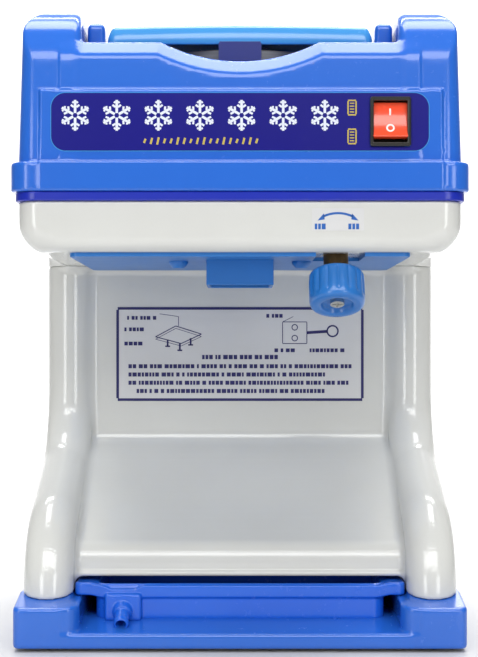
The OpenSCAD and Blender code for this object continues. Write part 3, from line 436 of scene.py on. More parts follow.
lid = {
    "half": 87, "corner": 6, "depth": 13.2, "crown": 1.6, "wall": 3.0,
    "slopeRun": 3.0, "slopeRise": 6.0, "edge": 1.6,
    "panelInset": 16, "panelDrop": 0.9, "panelCorner": 8,
    "ridges": 5, "ridgeFrom": 26, "ridgePitch": 4.5, "ridgeRadius": 1.5, "ridgeHalf": 26,
    "backGap": 7, "knuckle": 5.4, "knuckleIn": 60, "knuckleOut": 74, "pinBore": 2.56,
}


def makeLid():
    c = lid
    s = spaceOf(lidLow, lidHigh, fine)
    x, y, z = s["x"], s["y"], s["z"]
    ax = np.abs(x)
    under = lidHigh[2] - c["depth"]
    back = hingeAt[1] - c["backGap"]
    crown = c["crown"] * (x / c["half"]) ** 2
    outline = rect(x, y, (-c["half"], lidLow[1]), (c["half"], back), c["corner"])
    shape = chamfered(outline, z - lidHigh[2] + crown, c["slopeRun"], c["slopeRise"], c["edge"])
    shape = both(shape, under - z, 0.8)
    shape = without(shape, both(outline + c["wall"], z - lidHigh[2] + crown + c["wall"], 3))
    # sunk panel with ridges for the fingertips
    inset = c["panelInset"]
    sunk = rect(x, y, (-c["half"] + inset, lidLow[1] + inset), (c["half"] - inset, back - inset),
                c["panelCorner"])
    shape = without(shape, both(sunk, lidHigh[2] - crown - c["panelDrop"] - z, 0.6), 0.6)
    for i in range(c["ridges"]):
        middle = (lidLow[1] + c["ridgeFrom"] + i * c["ridgePitch"], lidHigh[2] - 2 * c["panelDrop"])
        shape = either(shape, both(rod(y, z, middle, c["ridgeRadius"]), ax - c["ridgeHalf"], 1), 0.4)
    # knuckles that the pins run through
    web = both(band(y, hingeAt[1] - 12, hingeAt[1]), band(z, hingeAt[2] - 2, hingeAt[2] + 5.3))
    knuckle = either(rod(y, z, hingeAt[1:], c["knuckle"]), web, 2)
    shape = either(shape, both(knuckle, band(ax, c["knuckleIn"], c["knuckleOut"]), 0.7), 1.5)
    shape = without(shape, both(rod(y, z, hingeAt[1:], c["pinBore"]), band(ax, 50, 90)))
    settle(skin("lidShell", s, shape, "lidBlue"), "lid", "blue_plastic", "lid")


white = {
    "half": 142.2, "front": -120, "foot": 30, "wall": 3.0,
    "tube": 16.4, "tubeAt": 125.6, "rearRun": 170, "rearRise": 122, "frontRun": 49, "frontRise": 66,
    "bendUpper": 40, "bendKnee": 25, "web": 5.0, "cove": 7.0,
    "apronIn": 13, "apronRise": 63, "apronTop": 125, "apronEdge": 8, "wallFillet": 6,
    "panelIn": 9, "lipRise": 8.5, "lipStep": 1.6, "lipTall": 3.4,
    "headHalf": 140, "headEdge": 13, "headCorner": 19, "headFillet": 9.5, "cornerFrom": 110, "cornerRun": 26,
    "ventHalf": 139, "ventRear": 12, "ventTop": 251,
    "beltHalf": 70, "beltRear": 9, "beltTop": 200, "past": 9,
    "chuteLap": 3.6, "bushHole": 8.1, "motorHole": 20,
}


def whiteField(s):
    # the joined outside of the head and body
    c = white
    x, y, z = s["x"], s["y"], s["z"]
    ax = np.abs(x)
    front = coverLow[1]
    rearLine, frontLine = front + c["rearRun"], front + c["frontRun"]
    upper, knee = (rearLine, c["rearRise"]), (frontLine, c["frontRise"])
    behind = both(frontLine - y, fall(knee, upper, y, z), c["bendKnee"])
    behind = either(rearLine - y, behind, c["bendUpper"])
    side = np.sqrt((ax - c["tubeAt"]) ** 2 + np.maximum(behind, 0) ** 2) - c["tube"]
    # back wall, apron and lip between the tubes
    apronTop, apronFront = (wallY - 1, c["apronTop"]), (frontLine + c["apronIn"], c["apronRise"])
    panelY = frontLine + c["panelIn"]
    lipZ = deckTop + c["lipRise"]
    middle = both(panelY - y, fall(apronFront, apronTop, y, z), c["apronEdge"])
    middle = either(wallY - y, middle, c["wallFillet"])
    lip = both(both(panelY - c["lipStep"] - y, z - lipZ - c["lipTall"], 1.2), y - panelY - 6)
    middle = both(either(middle, lip, 1.5), lipZ - z, 1.2)
    body = either(side, both(middle, ax - c["tubeAt"]), c["web"])
    body = both(body, y - bodyHigh[1], 2)
    # head, rounder at its sides than along its front
    outline = rect(x, y, (-c["headHalf"], frontFace), (c["headHalf"], rearFace), c["headEdge"])
    weight = np.clip((ax - c["cornerFrom"]) / c["cornerRun"], 0, 1)
    radius = c["headFillet"] + (c["headCorner"] - c["headFillet"]) * weight * weight * (3 - 2 * weight)
    head = both(both(outline, headLow[2] - z, radius), z - headHigh[2], 1)
    return either(head, both(body, z - headHigh[2]), c["cove"])


base = {
    "half": 145, "corner": 5, "edge": 2.2,
    "sill": 12.0, "sillRise": 5, "sillRun": 35, "noseRise": 28, "noseRun": 32,
    "blockIn": 103, "pocket": 11, "pocketBehind": 4, "ledgeHalf": 109.5, "ledgeDrop": 2.8,
    "skirt": 3, "footRoom": 9, "blockHollow": 25, "blockHollowIn": 106, "blockWall": 15,
}


def baseTop(y, z):
    # the base's upper surface: a slope at the front, then level
    nose = fall((baseLow[1], base["noseRise"]), (baseLow[1] + base["noseRun"], deckTop), y, z)
    return np.maximum(nose, z - deckTop)


def makeBody():
    c = white
    s = spaceOf((-c["half"], c["front"], c["foot"]), (c["half"], bodyHigh[1], headLow[2]), medium)
    x, y, z = s["x"], s["y"], s["z"]
    ax = np.abs(x)
    joined = whiteField(s)
    shape = both(joined, z - headLow[2])
    inner = both(joined + c["wall"], z - headLow[2] + c["wall"])
    belt = both(both(ax - c["beltHalf"], wallY + c["beltRear"] - y),
                both(z - headLow[2] - c["past"], c["beltTop"] - z))
    vent = both(both(ax - c["ventHalf"], rearFace - c["ventRear"] - y),
                both(y - rearFace - c["past"], z - c["ventTop"]))
    shape = without(shape, either(either(inner, belt), vent))
    shape = both(shape, -(baseTop(y, z) - 0.15), 0.8)
    settle(skin("whiteBody", s, shape, "white"), "housing", "white_plastic", "body_shell")


def makeHead():
    c = white
    s = spaceOf((-c["half"], headLow[1], headLow[2]), (c["half"], headHigh[1], headHigh[2]), fine)
    x, y, z = s["x"], s["y"], s["z"]
    joined = whiteField(s)
    shape = both(joined, headLow[2] - z)
    inner = both(joined + c["wall"], headLow[2] + c["wall"] - z, 4)
    inner = either(inner, both(joined + c["wall"], headHigh[2] - 8 - z))
    shape = without(shape, inner)
    shape = both(shape, z - headHigh[2] + 0.05)
    # holes for the chute, the spindle and the motor's shaft
    low, high = boxMm("outlet_chute")
    lap = c["chuteLap"]
    shape = without(shape, rect(x, y, (low[0] + lap, low[1] + lap), (high[0] - lap, high[1] + 0.3), 1))
    axis = Vector(joints["knob_turn"]["axis"])
    at = Vector(joints["knob_turn"]["pos_m"]) / mm
    px, py, pz = x - at.x, y - at.y, z - at.z
    along = px * axis.x + py * axis.y + pz * axis.z
    away = np.sqrt(np.maximum(px ** 2 + py ** 2 + pz ** 2 - along ** 2, 0))
    shape = without(shape, away - c["bushHole"])
    low, high = boxMm("motor_shaft")
    shaftAt = (0, (low[1] + high[1]) / 2)
    shape = without(shape, both(rod(x, y, shaftAt, c["motorHole"]), z - headLow[2] - 8))
    settle(skin("whiteHead", s, shape, "white"), "housing", "white_plastic", "head_shell")


def makeBase():
    c = base
    s = spaceOf(baseLow, baseHigh, fine)
    x, y, z = s["x"], s["y"], s["z"]
    ax = np.abs(x)
    half, front, rear = c["half"], baseLow[1], baseHigh[1]
    shape = both(rect(x, y, (-half, front), (half, rear), c["corner"]), baseTop(y, z), c["edge"])
    shape = both(shape, baseLow[2] - z, 2.4)
    # the pocket between the blocks: its front mouth flares round each block's inner corner
    back = trayHigh[1] + c["pocketBehind"]
    cornerX, cornerY = c["blockIn"] + c["pocket"], front + c["pocket"]
    straight = both(ax - c["blockIn"], y - back, 4)
    flare = both(both(ax - cornerX, y - cornerY),
                 c["pocket"] - np.sqrt((ax - cornerX) ** 2 + (y - cornerY) ** 2))
    pocket = np.minimum(straight, np.maximum(flare, y - cornerY))
    ground = c["sill"] + np.clip((y - front) / c["sillRun"], 0, 1) * c["sillRise"]
    pocket = both(pocket, ground - z, 1.2)
    ledge = both(both(ax - c["ledgeHalf"], y - back, 3), deckTop - c["ledgeDrop"] - z, 0.5)
    shape = without(shape, either(pocket, ledge), 1.6)
    # hollow underneath
    inner, rearIn = half - c["skirt"], rear - c["skirt"]
    under = both(rect(x, y, (-inner, front + c["skirt"]), (inner, rearIn), 3), z - c["footRoom"])
    block = rect(ax, y, (c["blockHollowIn"], front + c["blockWall"]), (inner, rearIn), 3)
    low = either(under, both(block, z - c["blockHollow"]))
    behind = rect(x, y, (-inner, back + 5), (inner, rearIn), 3)
    low = either(low, both(behind, z - deckTop + c["skirt"]))
    settle(skin("baseTray", s, without(shape, low), "blue"), "housing", "blue_plastic", "base")


tray = {
    "wall": 2.0, "half": 95, "corner": 8, "frontIn": 48,
    "rim": 8.3, "rimOut": 2, "rimCorner": 5,
    "dip": 1.8, "dipAt": 90, "dipRun": 8, "notch": 2.2, "notchHalf": 8,
    "blockHalf": 12, "blockOut": 5,
    "spoutAt": -76.6, "spoutRise": 9, "spoutTilt": 24, "spoutOut": 5.0, "spoutBore": 3.25, "spoutLength": 22,
    "collar": 10, "collarR": 6.2, "bead": 0.35,
}


def makeTray():
    c = tray
    s = spaceOf(trayLow, trayHigh, finest)
    x, y, z = s["x"], s["y"], s["z"]
    ax = np.abs(x)
    top, floorZ = trayHigh[2], trayLow[2]
    front = coverLow[1] + c["frontIn"]
    rimHalf, rimRear = trayHigh[0], trayHigh[1]
    # the rim dips between its ends, and a little more over the spout
    dip = c["dip"] * (1 - np.clip((ax - c["dipAt"]) / c["dipRun"], 0, 1))
    dip = dip + c["notch"] * (1 - np.clip((np.abs(x - c["spoutAt"]) - c["notchHalf"]) / 5, 0, 1))
    dip = dip * np.clip((-60 - y) / 12, 0, 1)
    bowl = rect(x, y, (-c["half"], front), (c["half"], rimRear - c["rimOut"]), c["corner"])
    bowl = both(bowl, band(z, floorZ, top - 0.6), 2)
    rim = rect(x, y, (-rimHalf, front - c["rimOut"]), (rimHalf, rimRear), c["rimCorner"])
    rim = both(rim, band(z + dip, top - c["rim"], top), 1.4)
    block = rect(x, y, (c["spoutAt"] - c["blockHalf"], front - c["blockOut"]),
                 (c["spoutAt"] + c["blockHalf"], front + 3), 2)
    block = both(block, band(z, floorZ, deckTop - 1), 1.6)
    shape = either(either(bowl, block, 1.5), rim, 1)
    # spout, measured along and away from its own tilted axis
    tilt = math.radians(c["spoutTilt"])
    root = (c["spoutAt"], front + 1, floorZ + c["spoutRise"])
    dy, dz = -math.cos(tilt), -math.sin(tilt)
    along = (y - root[1]) * dy + (z - root[2]) * dz
    away = np.sqrt((x - root[0]) ** 2 + ((y - root[1]) * dz - (z - root[2]) * dy) ** 2)
    bead = c["bead"] * np.exp(-((along - c["spoutLength"] + 3) / 1.2) ** 2)
    spout = both(away - c["spoutOut"] + c["bead"] - bead, band(along, 0, c["spoutLength"]), 0.6)
    spout = either(spout, both(away - c["collarR"], band(along, 0, c["collar"]), 0.6), 0.4)
    shape = either(shape, spout, 1.2)
    wall = c["wall"]
    inside = rect(x, y, (-c["half"] + wall, front + wall),
                  (c["half"] - wall, rimRear - c["rimOut"] - wall), c["corner"] - wall)
    shape = without(shape, both(inside, floorZ + wall - z, 2.5), 0.7)
    shape = without(shape, both(away - c["spoutBore"], band(along, -8, c["spoutLength"] + 3)), 0.4)
    settle(skin("dripTray", s, shape, "tray"), "tray", "tray_blue", "drip_tray")


makeCover()
makeLid()
makeBody()
makeHead()
makeBase()
makeTray()
print("moulded shells ready")


def meshPiece(name, bm, finish, smooth=True):  # the finished mesh as a piece in its finish
    mesh = bpy.data.meshes.new(name)
    bmesh.ops.recalc_face_normals(bm, faces=bm.faces)
    bm.to_mesh(mesh)
    bm.free()
    if smooth:
        mesh.shade_smooth()
    piece = bpy.data.objects.new(name, mesh)
    scene.collection.objects.link(piece)
    mesh.materials.append(finishes[finish])
    return piece


def soften(piece, width, segments, angle=40):
    # rounds a piece's sharp edges and keeps its flats flat
    weld = piece.modifiers.new("weld", "WELD")
    weld.merge_threshold = 0.00001
    bevel = piece.modifiers.new("edges", "BEVEL")
    bevel.width = width * mm
    bevel.segments = segments
    bevel.limit_method = "ANGLE"
    bevel.angle_limit = math.radians(angle)
    bevel.use_clamp_overlap = True
    flats = piece.modifiers.new("flats", "WEIGHTED_NORMAL")
    flats.keep_sharp = True
    return piece


def slabOf(bm, outline, back, front):
    # a flat shape standing on a face that looks along -Y: outline in width and height, y from back to front
    ring = [[bm.verts.new((u * mm, y * mm, v * mm)) for u, v in outline] for y in (back, front)]
    bm.faces.new(ring[0])
    bm.faces.new(list(reversed(ring[1])))
    count = len(outline)
    for i in range(count):
        bm.faces.new([ring[0][i], ring[1][i], ring[1][(i + 1) % count], ring[0][(i + 1) % count]])


def windowSlab(bm, outline, window, back, front):
    # a flat shape with a hole through it
    rings = []
    for y in (back, front):
        edges = []
        for loop in (outline, window):
            verts = [bm.verts.new((u * mm, y * mm, v * mm)) for u, v in loop]
            edges.append([bm.edges.new((verts[i], verts[(i + 1) % len(verts)])) for i in range(len(verts))])
            rings.append(verts)
        bmesh.ops.triangle_fill(bm, use_beauty=True, edges=edges[0] + edges[1])
    for near, far in ((rings[0], rings[2]), (rings[1], rings[3])):
        for i in range(len(near)):
            j = (i + 1) % len(near)
            bm.faces.new([near[i], near[j], far[j], far[i]])


def bar(u0, v0, u1, v1, width):  # outline of a straight stroke
    length = math.hypot(u1 - u0, v1 - v0)
    nu, nv = -(v1 - v0) / length * width / 2, (u1 - u0) / length * width / 2
    return [(u0 + nu, v0 + nv), (u0 - nu, v0 - nv), (u1 - nu, v1 - nv), (u1 + nu, v1 + nv)]


def roundRect(u0, v0, u1, v1, r, steps=8):
    points = []
    centres = ((u1 - r, v1 - r, 0), (u0 + r, v1 - r, 90), (u0 + r, v0 + r, 180), (u1 - r, v0 + r, 270))
    for cu, cv, start in centres:
        for i in range(steps + 1):
            a = math.radians(start + 90 * i / steps)
            points.append((cu + r * math.cos(a), cv + r * math.sin(a)))
    return points


def frameOf(bm, u0, v0, u1, v1, width, back, front):
    for v in (v1, v0):
        slabOf(bm, bar(u0, v, u1, v, width), back, front)
    for u in (u0, u1):
        slabOf(bm, bar(u, v0 + width / 2, u, v1 - width / 2, width), back, front)


def ringOf(bm, cu, cv, outer, inner, back, front, steps=32, turn=360, start=0):
    # a flat ring or part of one
    full = turn >= 360
    count = steps if full else steps + 1
    grid = []
    for i in range(count):
        a = math.radians(start + turn * i / steps)
        grid.append([bm.verts.new(((cu + r * math.cos(a)) * mm, y * mm, (cv + r * math.sin(a)) * mm))
                     for r, y in ((inner, back), (outer, back), (outer, front), (inner, front))])
    for i in range(steps):
        a, b = grid[i], grid[(i + 1) % count]
        for k in range(4):
            bm.faces.new([a[k], a[(k + 1) % 4], b[(k + 1) % 4], b[k]])
    if not full:
        bm.faces.new(grid[0])
        bm.faces.new(list(reversed(grid[-1])))


panel = {
    "thick": 0.5, "print": 0.08, "sunk": 0.03, "corner": 9, "edge": 0.5, "edgeThick": 0.3, "windowGap": 0.2,
    "crystals": 7, "crystal": 9.6, "stroke": 1.6, "crystalsFrom": 15, "crystalsTo": 171, "crystalsUp": 4,
    "dots": 18, "dotsFrom": 58, "dotsTo": 128, "dotsDown": 12, "dotWidth": 1.3,
}


def crystal(bm, cu, cv, size, stroke, back, front):
    # a plain ice crystal: six arms, each with two pairs of twigs
    for arm in range(6):
        a = math.radians(60 * arm + 30)
        ca, sa = math.cos(a), math.sin(a)
        inner = stroke * 0.9
        outline = bar(cu + ca * inner, cv + sa * inner, cu + ca * size, cv + sa * size, stroke)
        slabOf(bm, outline, back, front)
        for place, share in ((0.48, 0.34), (0.76, 0.22)):
            for lean in (-55, 55):
                b = a + math.radians(lean)
                cb, sb = math.cos(b), math.sin(b)
                su, sv = cu + ca * size * place, cv + sa * size * place
                start, reach = stroke * 0.62, size * share
                twig = bar(su + cb * start, sv + sb * start, su + cb * reach, sv + sb * reach, stroke * 0.8)
                slabOf(bm, twig, back, front)


def makePanel():
    c = panel
    low, high = boxMm("name_panel")
    bezelLow, bezelHigh = boxMm("switch_body")
    gap = c["windowGap"]
    window = roundRect(bezelLow[0] - gap, bezelLow[2] - gap, bezelHigh[0] + gap, bezelHigh[2] + gap, 1.5, 3)
    outline = roundRect(low[0], low[2], high[0], high[2], c["corner"], 12)
    bm = bmesh.new()
    windowSlab(bm, outline, window, frontFace + 0.1, frontFace - c["thick"])
    settle(meshPiece("namePanel", bm, "navy", False), "housing", "navy_film", "name_panel")
    edge = c["edge"]
    rim = roundRect(low[0] - edge, low[2] - edge, high[0] + edge, high[2] + edge, c["corner"] + edge, 12)
    bm = bmesh.new()
    windowSlab(bm, rim, outline, frontFace + 0.1, frontFace - c["edgeThick"])
    settle(meshPiece("panelEdge", bm, "lidBlue", False), "housing", "blue_plastic")
    back = frontFace - c["thick"] + c["sunk"]
    front = frontFace - c["thick"] - c["print"]
    midZ = (low[2] + high[2]) / 2
    bm = bmesh.new()
    pitch = (c["crystalsTo"] - c["crystalsFrom"]) / (c["crystals"] - 1)
    for i in range(c["crystals"]):
        u = low[0] + c["crystalsFrom"] + i * pitch
        crystal(bm, u, midZ + c["crystalsUp"], c["crystal"], c["stroke"], back, front)
    settle(meshPiece("panelCrystals", bm, "print", False), "housing", "navy_film")
    bm = bmesh.new()
    pitch = (c["dotsTo"] - c["dotsFrom"]) / (c["dots"] - 1)
    for i in range(c["dots"]):
        u = low[0] + c["dotsFrom"] + i * pitch
        v = midZ - c["dotsDown"]
        tall = 1.3 + math.sin(i * 0.9) ** 2
        slabOf(bm, bar(u, v - tall, u + 1.0, v + tall, c["dotWidth"]), back, front)
    settle(meshPiece("panelRule", bm, "gold", False), "housing", "gold_film")


goldMark = {"tall": 10, "inset": 0.5, "frame": 0.9, "print": 0.16, "rows": 4, "rowPitch": 1.8, "row": 0.7}


def makeGoldMarks():
    c = goldMark
    low, high = boxMm("gold_marks")
    face = frontFace - panel["thick"]
    back, front = face + panel["sunk"], face - c["print"]
    left, right, inset = low[0], high[0], c["inset"]
    bm = bmesh.new()
    for foot in (low[2], high[2] - c["tall"]):
        head = foot + c["tall"]
        frameOf(bm, left + inset, foot + inset, right - inset, head - inset, c["frame"], back, front)
        for i in range(c["rows"]):
            v = foot + 2.3 + i * c["rowPitch"]
            slabOf(bm, bar(left + 1.6, v, right - 1.6, v, c["row"]), back, front)
    settle(meshPiece("goldMarks", bm, "gold", False), "housing", "gold_film", "gold_marks")


rocker = {
    "tall": 11.3, "face": 5.35, "crown": 1.7, "lean": -12, "gap": 0.2, "steps": 18, "edge": 0.7,
    "heel": 2.2, "toe": 3.8, "toeHalf": 4,
    "stroke": 1.1, "barHeight": 4.2, "barUp": 5.4, "ring": 1.7, "ringDown": 5.2, "raised": 0.07, "sunk": 0.3,
}


def rockerPoint(u, depth, v):
    # a point of the rocker, across it, out from its pivot and up it, in the CAD's own place
    low, high = boxMm("switch_rocker")
    pivot = [w / mm for w in joints["rocker_tip"]["pos_m"]]
    tilt = math.radians(rocker["lean"])
    y = depth * math.cos(tilt) - v * math.sin(tilt)
    z = depth * math.sin(tilt) + v * math.cos(tilt)
    return Vector((((low[0] + high[0]) / 2 + u) * mm, (pivot[1] + y) * mm, (pivot[2] + z) * mm))


def rockerFace(v):  # the dished front between two crowned ends
    return -rocker["face"] - rocker["crown"] * (v / rocker["tall"]) ** 2


def makeRocker():
    c = rocker
    low, high = boxMm("switch_rocker")
    half = (high[0] - low[0]) / 2 - c["gap"]
    tall = c["tall"]
    heights = [-tall + 2 * tall * i / c["steps"] for i in range(c["steps"] + 1)]
    profile = [(rockerFace(v), v) for v in heights]
    profile += [(-c["heel"], tall), (c["toe"], c["toeHalf"]), (c["toe"], -c["toeHalf"]), (-c["heel"], -tall)]
    bm = bmesh.new()
    rings = [[bm.verts.new(rockerPoint(u, depth, v)) for depth, v in profile] for u in (-half, half)]
    bm.faces.new(rings[0])
    bm.faces.new(list(reversed(rings[1])))
    count = len(profile)
    for i in range(count):
        j = (i + 1) % count
        bm.faces.new([rings[0][i], rings[1][i], rings[1][j], rings[0][j]])
    key = soften(meshPiece("rockerKey", bm, "rocker"), c["edge"], 3)
    settle(key, "rocker", "orange_plastic", "switch_rocker")
    # the marks are drawn flat, then laid on the dished face
    bm = bmesh.new()
    half = c["barHeight"] / 2
    slabOf(bm, bar(0, c["barUp"] - half, 0, c["barUp"] + half, c["stroke"]), 0, -1)
    ringOf(bm, 0, -c["ringDown"], c["ring"] + c["stroke"] * 0.9, c["ring"] - 0.1, 0, -1)
    for vert in bm.verts:
        u, v = vert.co.x / mm, vert.co.z / mm
        stand = c["raised"] if vert.co.y < 0 else -c["sunk"]
        vert.co = rockerPoint(u, rockerFace(v) - stand, v)
    settle(meshPiece("rockerMarks", bm, "mark", False), "rocker", "orange_plastic")


knob = {
    "flutes": 16, "fluteDepth": 1.15, "stepsPerFlute": 16, "fluteFrom": 4.6, "fluteTo": 19.6, "body": 15.5,
}


def makeKnob():
    c = knob
    at = Vector(joints["knob_turn"]["pos_m"])
    axis = Vector(joints["knob_turn"]["axis"])
    turn = Vector((0, 0, 1)).rotation_difference(axis)
    # radius and height pairs from the recess's floor, round the face and up the side to the far end
    profile = [(4.9, 4.0), (9.6, 4.0), (10.2, 3.6), (10.4, 1.2), (10.9, 0.5), (11.8, 0.15), (13.2, 0.0),
               (15.0, 0.15), (16.4, 0.7), (17.2, 1.6), (17.6, 2.8), (17.8, 4.2), (17.9, 5.2), (18.0, 6.4),
               (18.0, 8), (18.0, 12), (18.0, 16), (17.9, 19.6), (17.6, 21.4), (17.0, 22.4), (16.0, 22.9),
               (14.5, 23.0), (4.06, 23.0), (4.06, 8.2), (2.2, 8.2), (2.2, 4.0)]
    end = max(height for radius, height in profile)
    around = c["flutes"] * c["stepsPerFlute"]
    bm = bmesh.new()
    rings = []
    for radius, height in profile:
        cutting = 0
        if radius > c["body"]:
            cutting = min(max((height - c["fluteFrom"]) / 2.2, 0), 1)
            if height >= c["fluteTo"]:
                cutting *= (end - height) / (end - c["fluteTo"])
        ring = []
        for i in range(around):
            a = 2 * math.pi * i / around
            wave = abs(math.sin(a * c["flutes"] / 2)) ** 0.75
            r = radius - c["fluteDepth"] * cutting * (1 - wave)
            ring.append(bm.verts.new(at + turn @ (Vector((r * math.cos(a), r * math.sin(a), height)) * mm)))
        rings.append(ring)
    for a, b in zip(rings, rings[1:] + rings[:1]):
        for i in range(around):
            j = (i + 1) % around
            bm.faces.new([a[i], b[i], b[j], a[j]])
    settle(meshPiece("knobGrip", bm, "knob"), "knob", "knob_blue", "adjusting_knob")


sheet = {
    "thick": 0.28, "print": 0.07, "sunk": 0.03, "corner": 1.5, "frame": 2.0, "frameIn": 1,
    "headingHalf": 28, "headingDown": 37, "heading": 3.2,
    "rows": 4, "rowsDown": 43.8, "rowPitch": 6.1, "row": 3.0, "rowIn": 9, "callout": 2.8,
    "drawingDown": 19, "plateIn": 46, "bladeIn": 44, "line": 0.7, "fineLine": 0.4,
}


def words(bm, u0, u1, v, height, seed, back, front):
    # a plain row of short bars where a line of text would be
    rng = random.Random(seed)
    u = u0
    while u < u1 - 2:
        wide = min(rng.uniform(1.4, 3.4), u1 - u)
        slabOf(bm, bar(u, v, u + wide, v, height), back, front)
        u += wide + (1.9 if rng.random() < 0.25 else 0.6)


def drawPlate(bm, cu, cv, back, front):
    # the left drawing: a tilted plate over three screws, with three callouts
    c = sheet
    corners = [(-17, -3), (2, -8), (17, -1), (-2, 5)]
    for i in range(4):
        a, b = corners[i], corners[(i + 1) % 4]
        for drop, width in ((0, c["line"]), (1.8, c["fineLine"])):
            outline = bar(cu + a[0], cv + a[1] - drop, cu + b[0], cv + b[1] - drop, width)
            slabOf(bm, outline, back, front)
    for du, dv in ((-8, -10), (1, -13), (9, -9)):
        slabOf(bm, bar(cu + du, cv + dv, cu + du, cv + dv + 5, 1.3), back, front)
        slabOf(bm, bar(cu + du - 1.8, cv + dv, cu + du + 1.8, cv + dv, 1.1), back, front)
    slabOf(bm, bar(cu, cv + 5, cu, cv + 12, 0.5), back, front)
    slabOf(bm, bar(cu, cv + 12, cu - 14, cv + 14, c["fineLine"]), back, front)
    words(bm, cu - 38, cu - 16, cv + 11, c["callout"], 31, back, front)
    words(bm, cu - 40, cu - 24, cv + 2.5, c["callout"], 32, back, front)
    words(bm, cu - 40, cu - 25, cv - 8, c["callout"], 33, back, front)


def drawBlade(bm, cu, cv, back, front):
    # the right drawing: a blade on its holder with two bolts and a spanner, with three callouts
    c = sheet
    frameOf(bm, cu - 16, cv - 8, cu + 2, cv + 8, 0.6, back, front)
    for dv in (-4, 4):
        ringOf(bm, cu - 7, cv + dv, 2.4, 1.7, back, front, 20)
    slabOf(bm, bar(cu + 2, cv, cu + 17, cv + 1, 2.2), back, front)
    ringOf(bm, cu + 21, cv + 1.2, 4.6, 3.4, back, front, 24)
    slabOf(bm, bar(cu - 16, cv + 8, cu - 8, cv + 12, c["fineLine"]), back, front)
    words(bm, cu - 28, cu - 14, cv + 12.5, c["callout"], 41, back, front)
    words(bm, cu - 22, cu - 6, cv - 13, c["callout"], 42, back, front)
    words(bm, cu + 4, cu + 30, cv - 13, c["callout"], 43, back, front)


def makeInstructions():
    c = sheet
    left, foot = labelLow[0], labelLow[2]
    right, top = labelHigh[0], labelHigh[2]
    face = wallY - c["thick"]
    bm = bmesh.new()
    slabOf(bm, roundRect(left, foot, right, top, c["corner"], 4), wallY - 0.01, face)
    settle(meshPiece("instructionSheet", bm, "paper", False), "housing", "label_grey", "instruction_plate")
    back, front = face + c["sunk"], face - c["print"]
    bm = bmesh.new()
    inset = c["frameIn"]
    frameOf(bm, left + inset, foot + inset, right - inset, top - inset, c["frame"], back, front)
    # heading and rows, the last one indented and every other one short
    words(bm, -c["headingHalf"], c["headingHalf"], top - c["headingDown"], c["heading"], 3, back, front)
    for i in range(c["rows"]):
        start = left + c["rowIn"] + (6 if i == c["rows"] - 1 else 0)
        end = right - c["rowIn"] - 18 * (i % 2)
        words(bm, start, end, top - c["rowsDown"] - i * c["rowPitch"], c["row"], 10 + i, back, front)
    drawPlate(bm, left + c["plateIn"], top - c["drawingDown"], back, front)
    drawBlade(bm, right - c["bladeIn"], top - c["drawingDown"], back, front)
    settle(meshPiece("instructionPrint", bm, "ink", False), "housing", "label_grey")


arrow = {
    "thick": 0.22, "print": 0.07, "sunk": 0.03, "corner": 0.8, "topMargin": 2.6, "radius": 22, "outer": 22.2,
    "inner": 20.8, "middle": 21.5, "spread": 50, "wordsOut": 10.5, "wordsUp": 2.6, "word": 3.6,
}


def makeArrowLabel():
    c = arrow
    low, high = boxMm("arrow_label")
    face = frontFace - c["thick"]
    bm = bmesh.new()
    slabOf(bm, roundRect(low[0], low[2], high[0], high[2], c["corner"], 3), frontFace + 0.02, face)
    settle(meshPiece("arrowSheet", bm, "paper", False), "housing", "label_grey", "arrow_label")
    cu = (low[0] + high[0]) / 2
    cv = high[2] - c["topMargin"] - c["radius"]
    back, front = face + c["sunk"], face - c["print"]
    bm = bmesh.new()
    ringOf(bm, cu, cv, c["outer"], c["inner"], back, front, 28, c["spread"], 90 - c["spread"] / 2)
    for side in (-1, 1):
        a = math.radians(90 + side * c["spread"] / 2)
        tipU = cu + c["middle"] * math.cos(a) - side * 0.1
        tipV = cv + c["middle"] * math.sin(a)
        head = [(tipU - side * 3.6, tipV - 2.6), (tipU + side * 0.4, tipV + 1.9),
                (tipU + side * 0.9, tipV - 1.9)]
        slabOf(bm, head[::side], back, front)
    for side in (-1, 1):
        u = cu + side * c["wordsOut"]
        words(bm, u - 4, u + 4.5, low[2] + c["wordsUp"], c["word"], 50 + side, back, front)
    settle(meshPiece("arrowPrint", bm, "arrow", False), "housing", "label_grey")


makePanel()
makeGoldMarks()
makeRocker()
makeKnob()
makeInstructions()
makeArrowLabel()
print("panel, switch, knob and labels ready")


# The CAD nodes that stay, each with its finish and the width of its softened edges
kept = {
    "base_plate": ("zinc", 0.3), "rubber_feet": ("rubber", 0.8), "base_screws": ("zinc", 0.3),
    "rear_cover": ("white", 0.8), "rear_screws": ("zinc", 0.4), "head_seal": ("deepBlue", 1.0),
    "switch_body": ("black", 0.6), "lid_tab": ("tabPaintedShade", 0.6), "hinge_pins": ("zinc", 0.3),
    "drum": ("drumSteel", 0.5), "drum_spacers": ("zinc", 0.3), "drum_screws": ("zinc", 0.3),
    "rotor": ("stainless", 0.7), "rotor_shaft": ("stainless", 0.4), "rotor_nut": ("stainless", 0.4),
    "bearings": ("zinc", 0.3), "driven_pulley": ("alloy", 0.4), "belt": ("rubber", 0.3),
    "motor_pulley": ("alloy", 0.4), "motor_shaft": ("zinc", 0.4), "motor": ("enamel", 0.8),
    "motor_armature": ("zinc", 0.3),
    "motor_bracket": ("zinc", 0.4), "motor_bolts": ("zinc", 0.4), "capacitor": ("grey", 0.8),
    "capacitor_clip": ("zinc", 0.3), "blade": ("stainless", 0.15), "blade_holder": ("alloy", 0.6),
    "blade_bolts": ("zinc", 0.2), "outlet_plate": ("plate", 0.7), "plate_bolts": ("plate", 0.3),
    "outlet_chute": ("plate", 0.6), "adjusting_screw": ("zinc", 0.3), "knob_screw": ("zinc", 0.25),
    "screw_bush": ("bronze", 0.4), "cord_gland": ("rubber", 0.6),
}
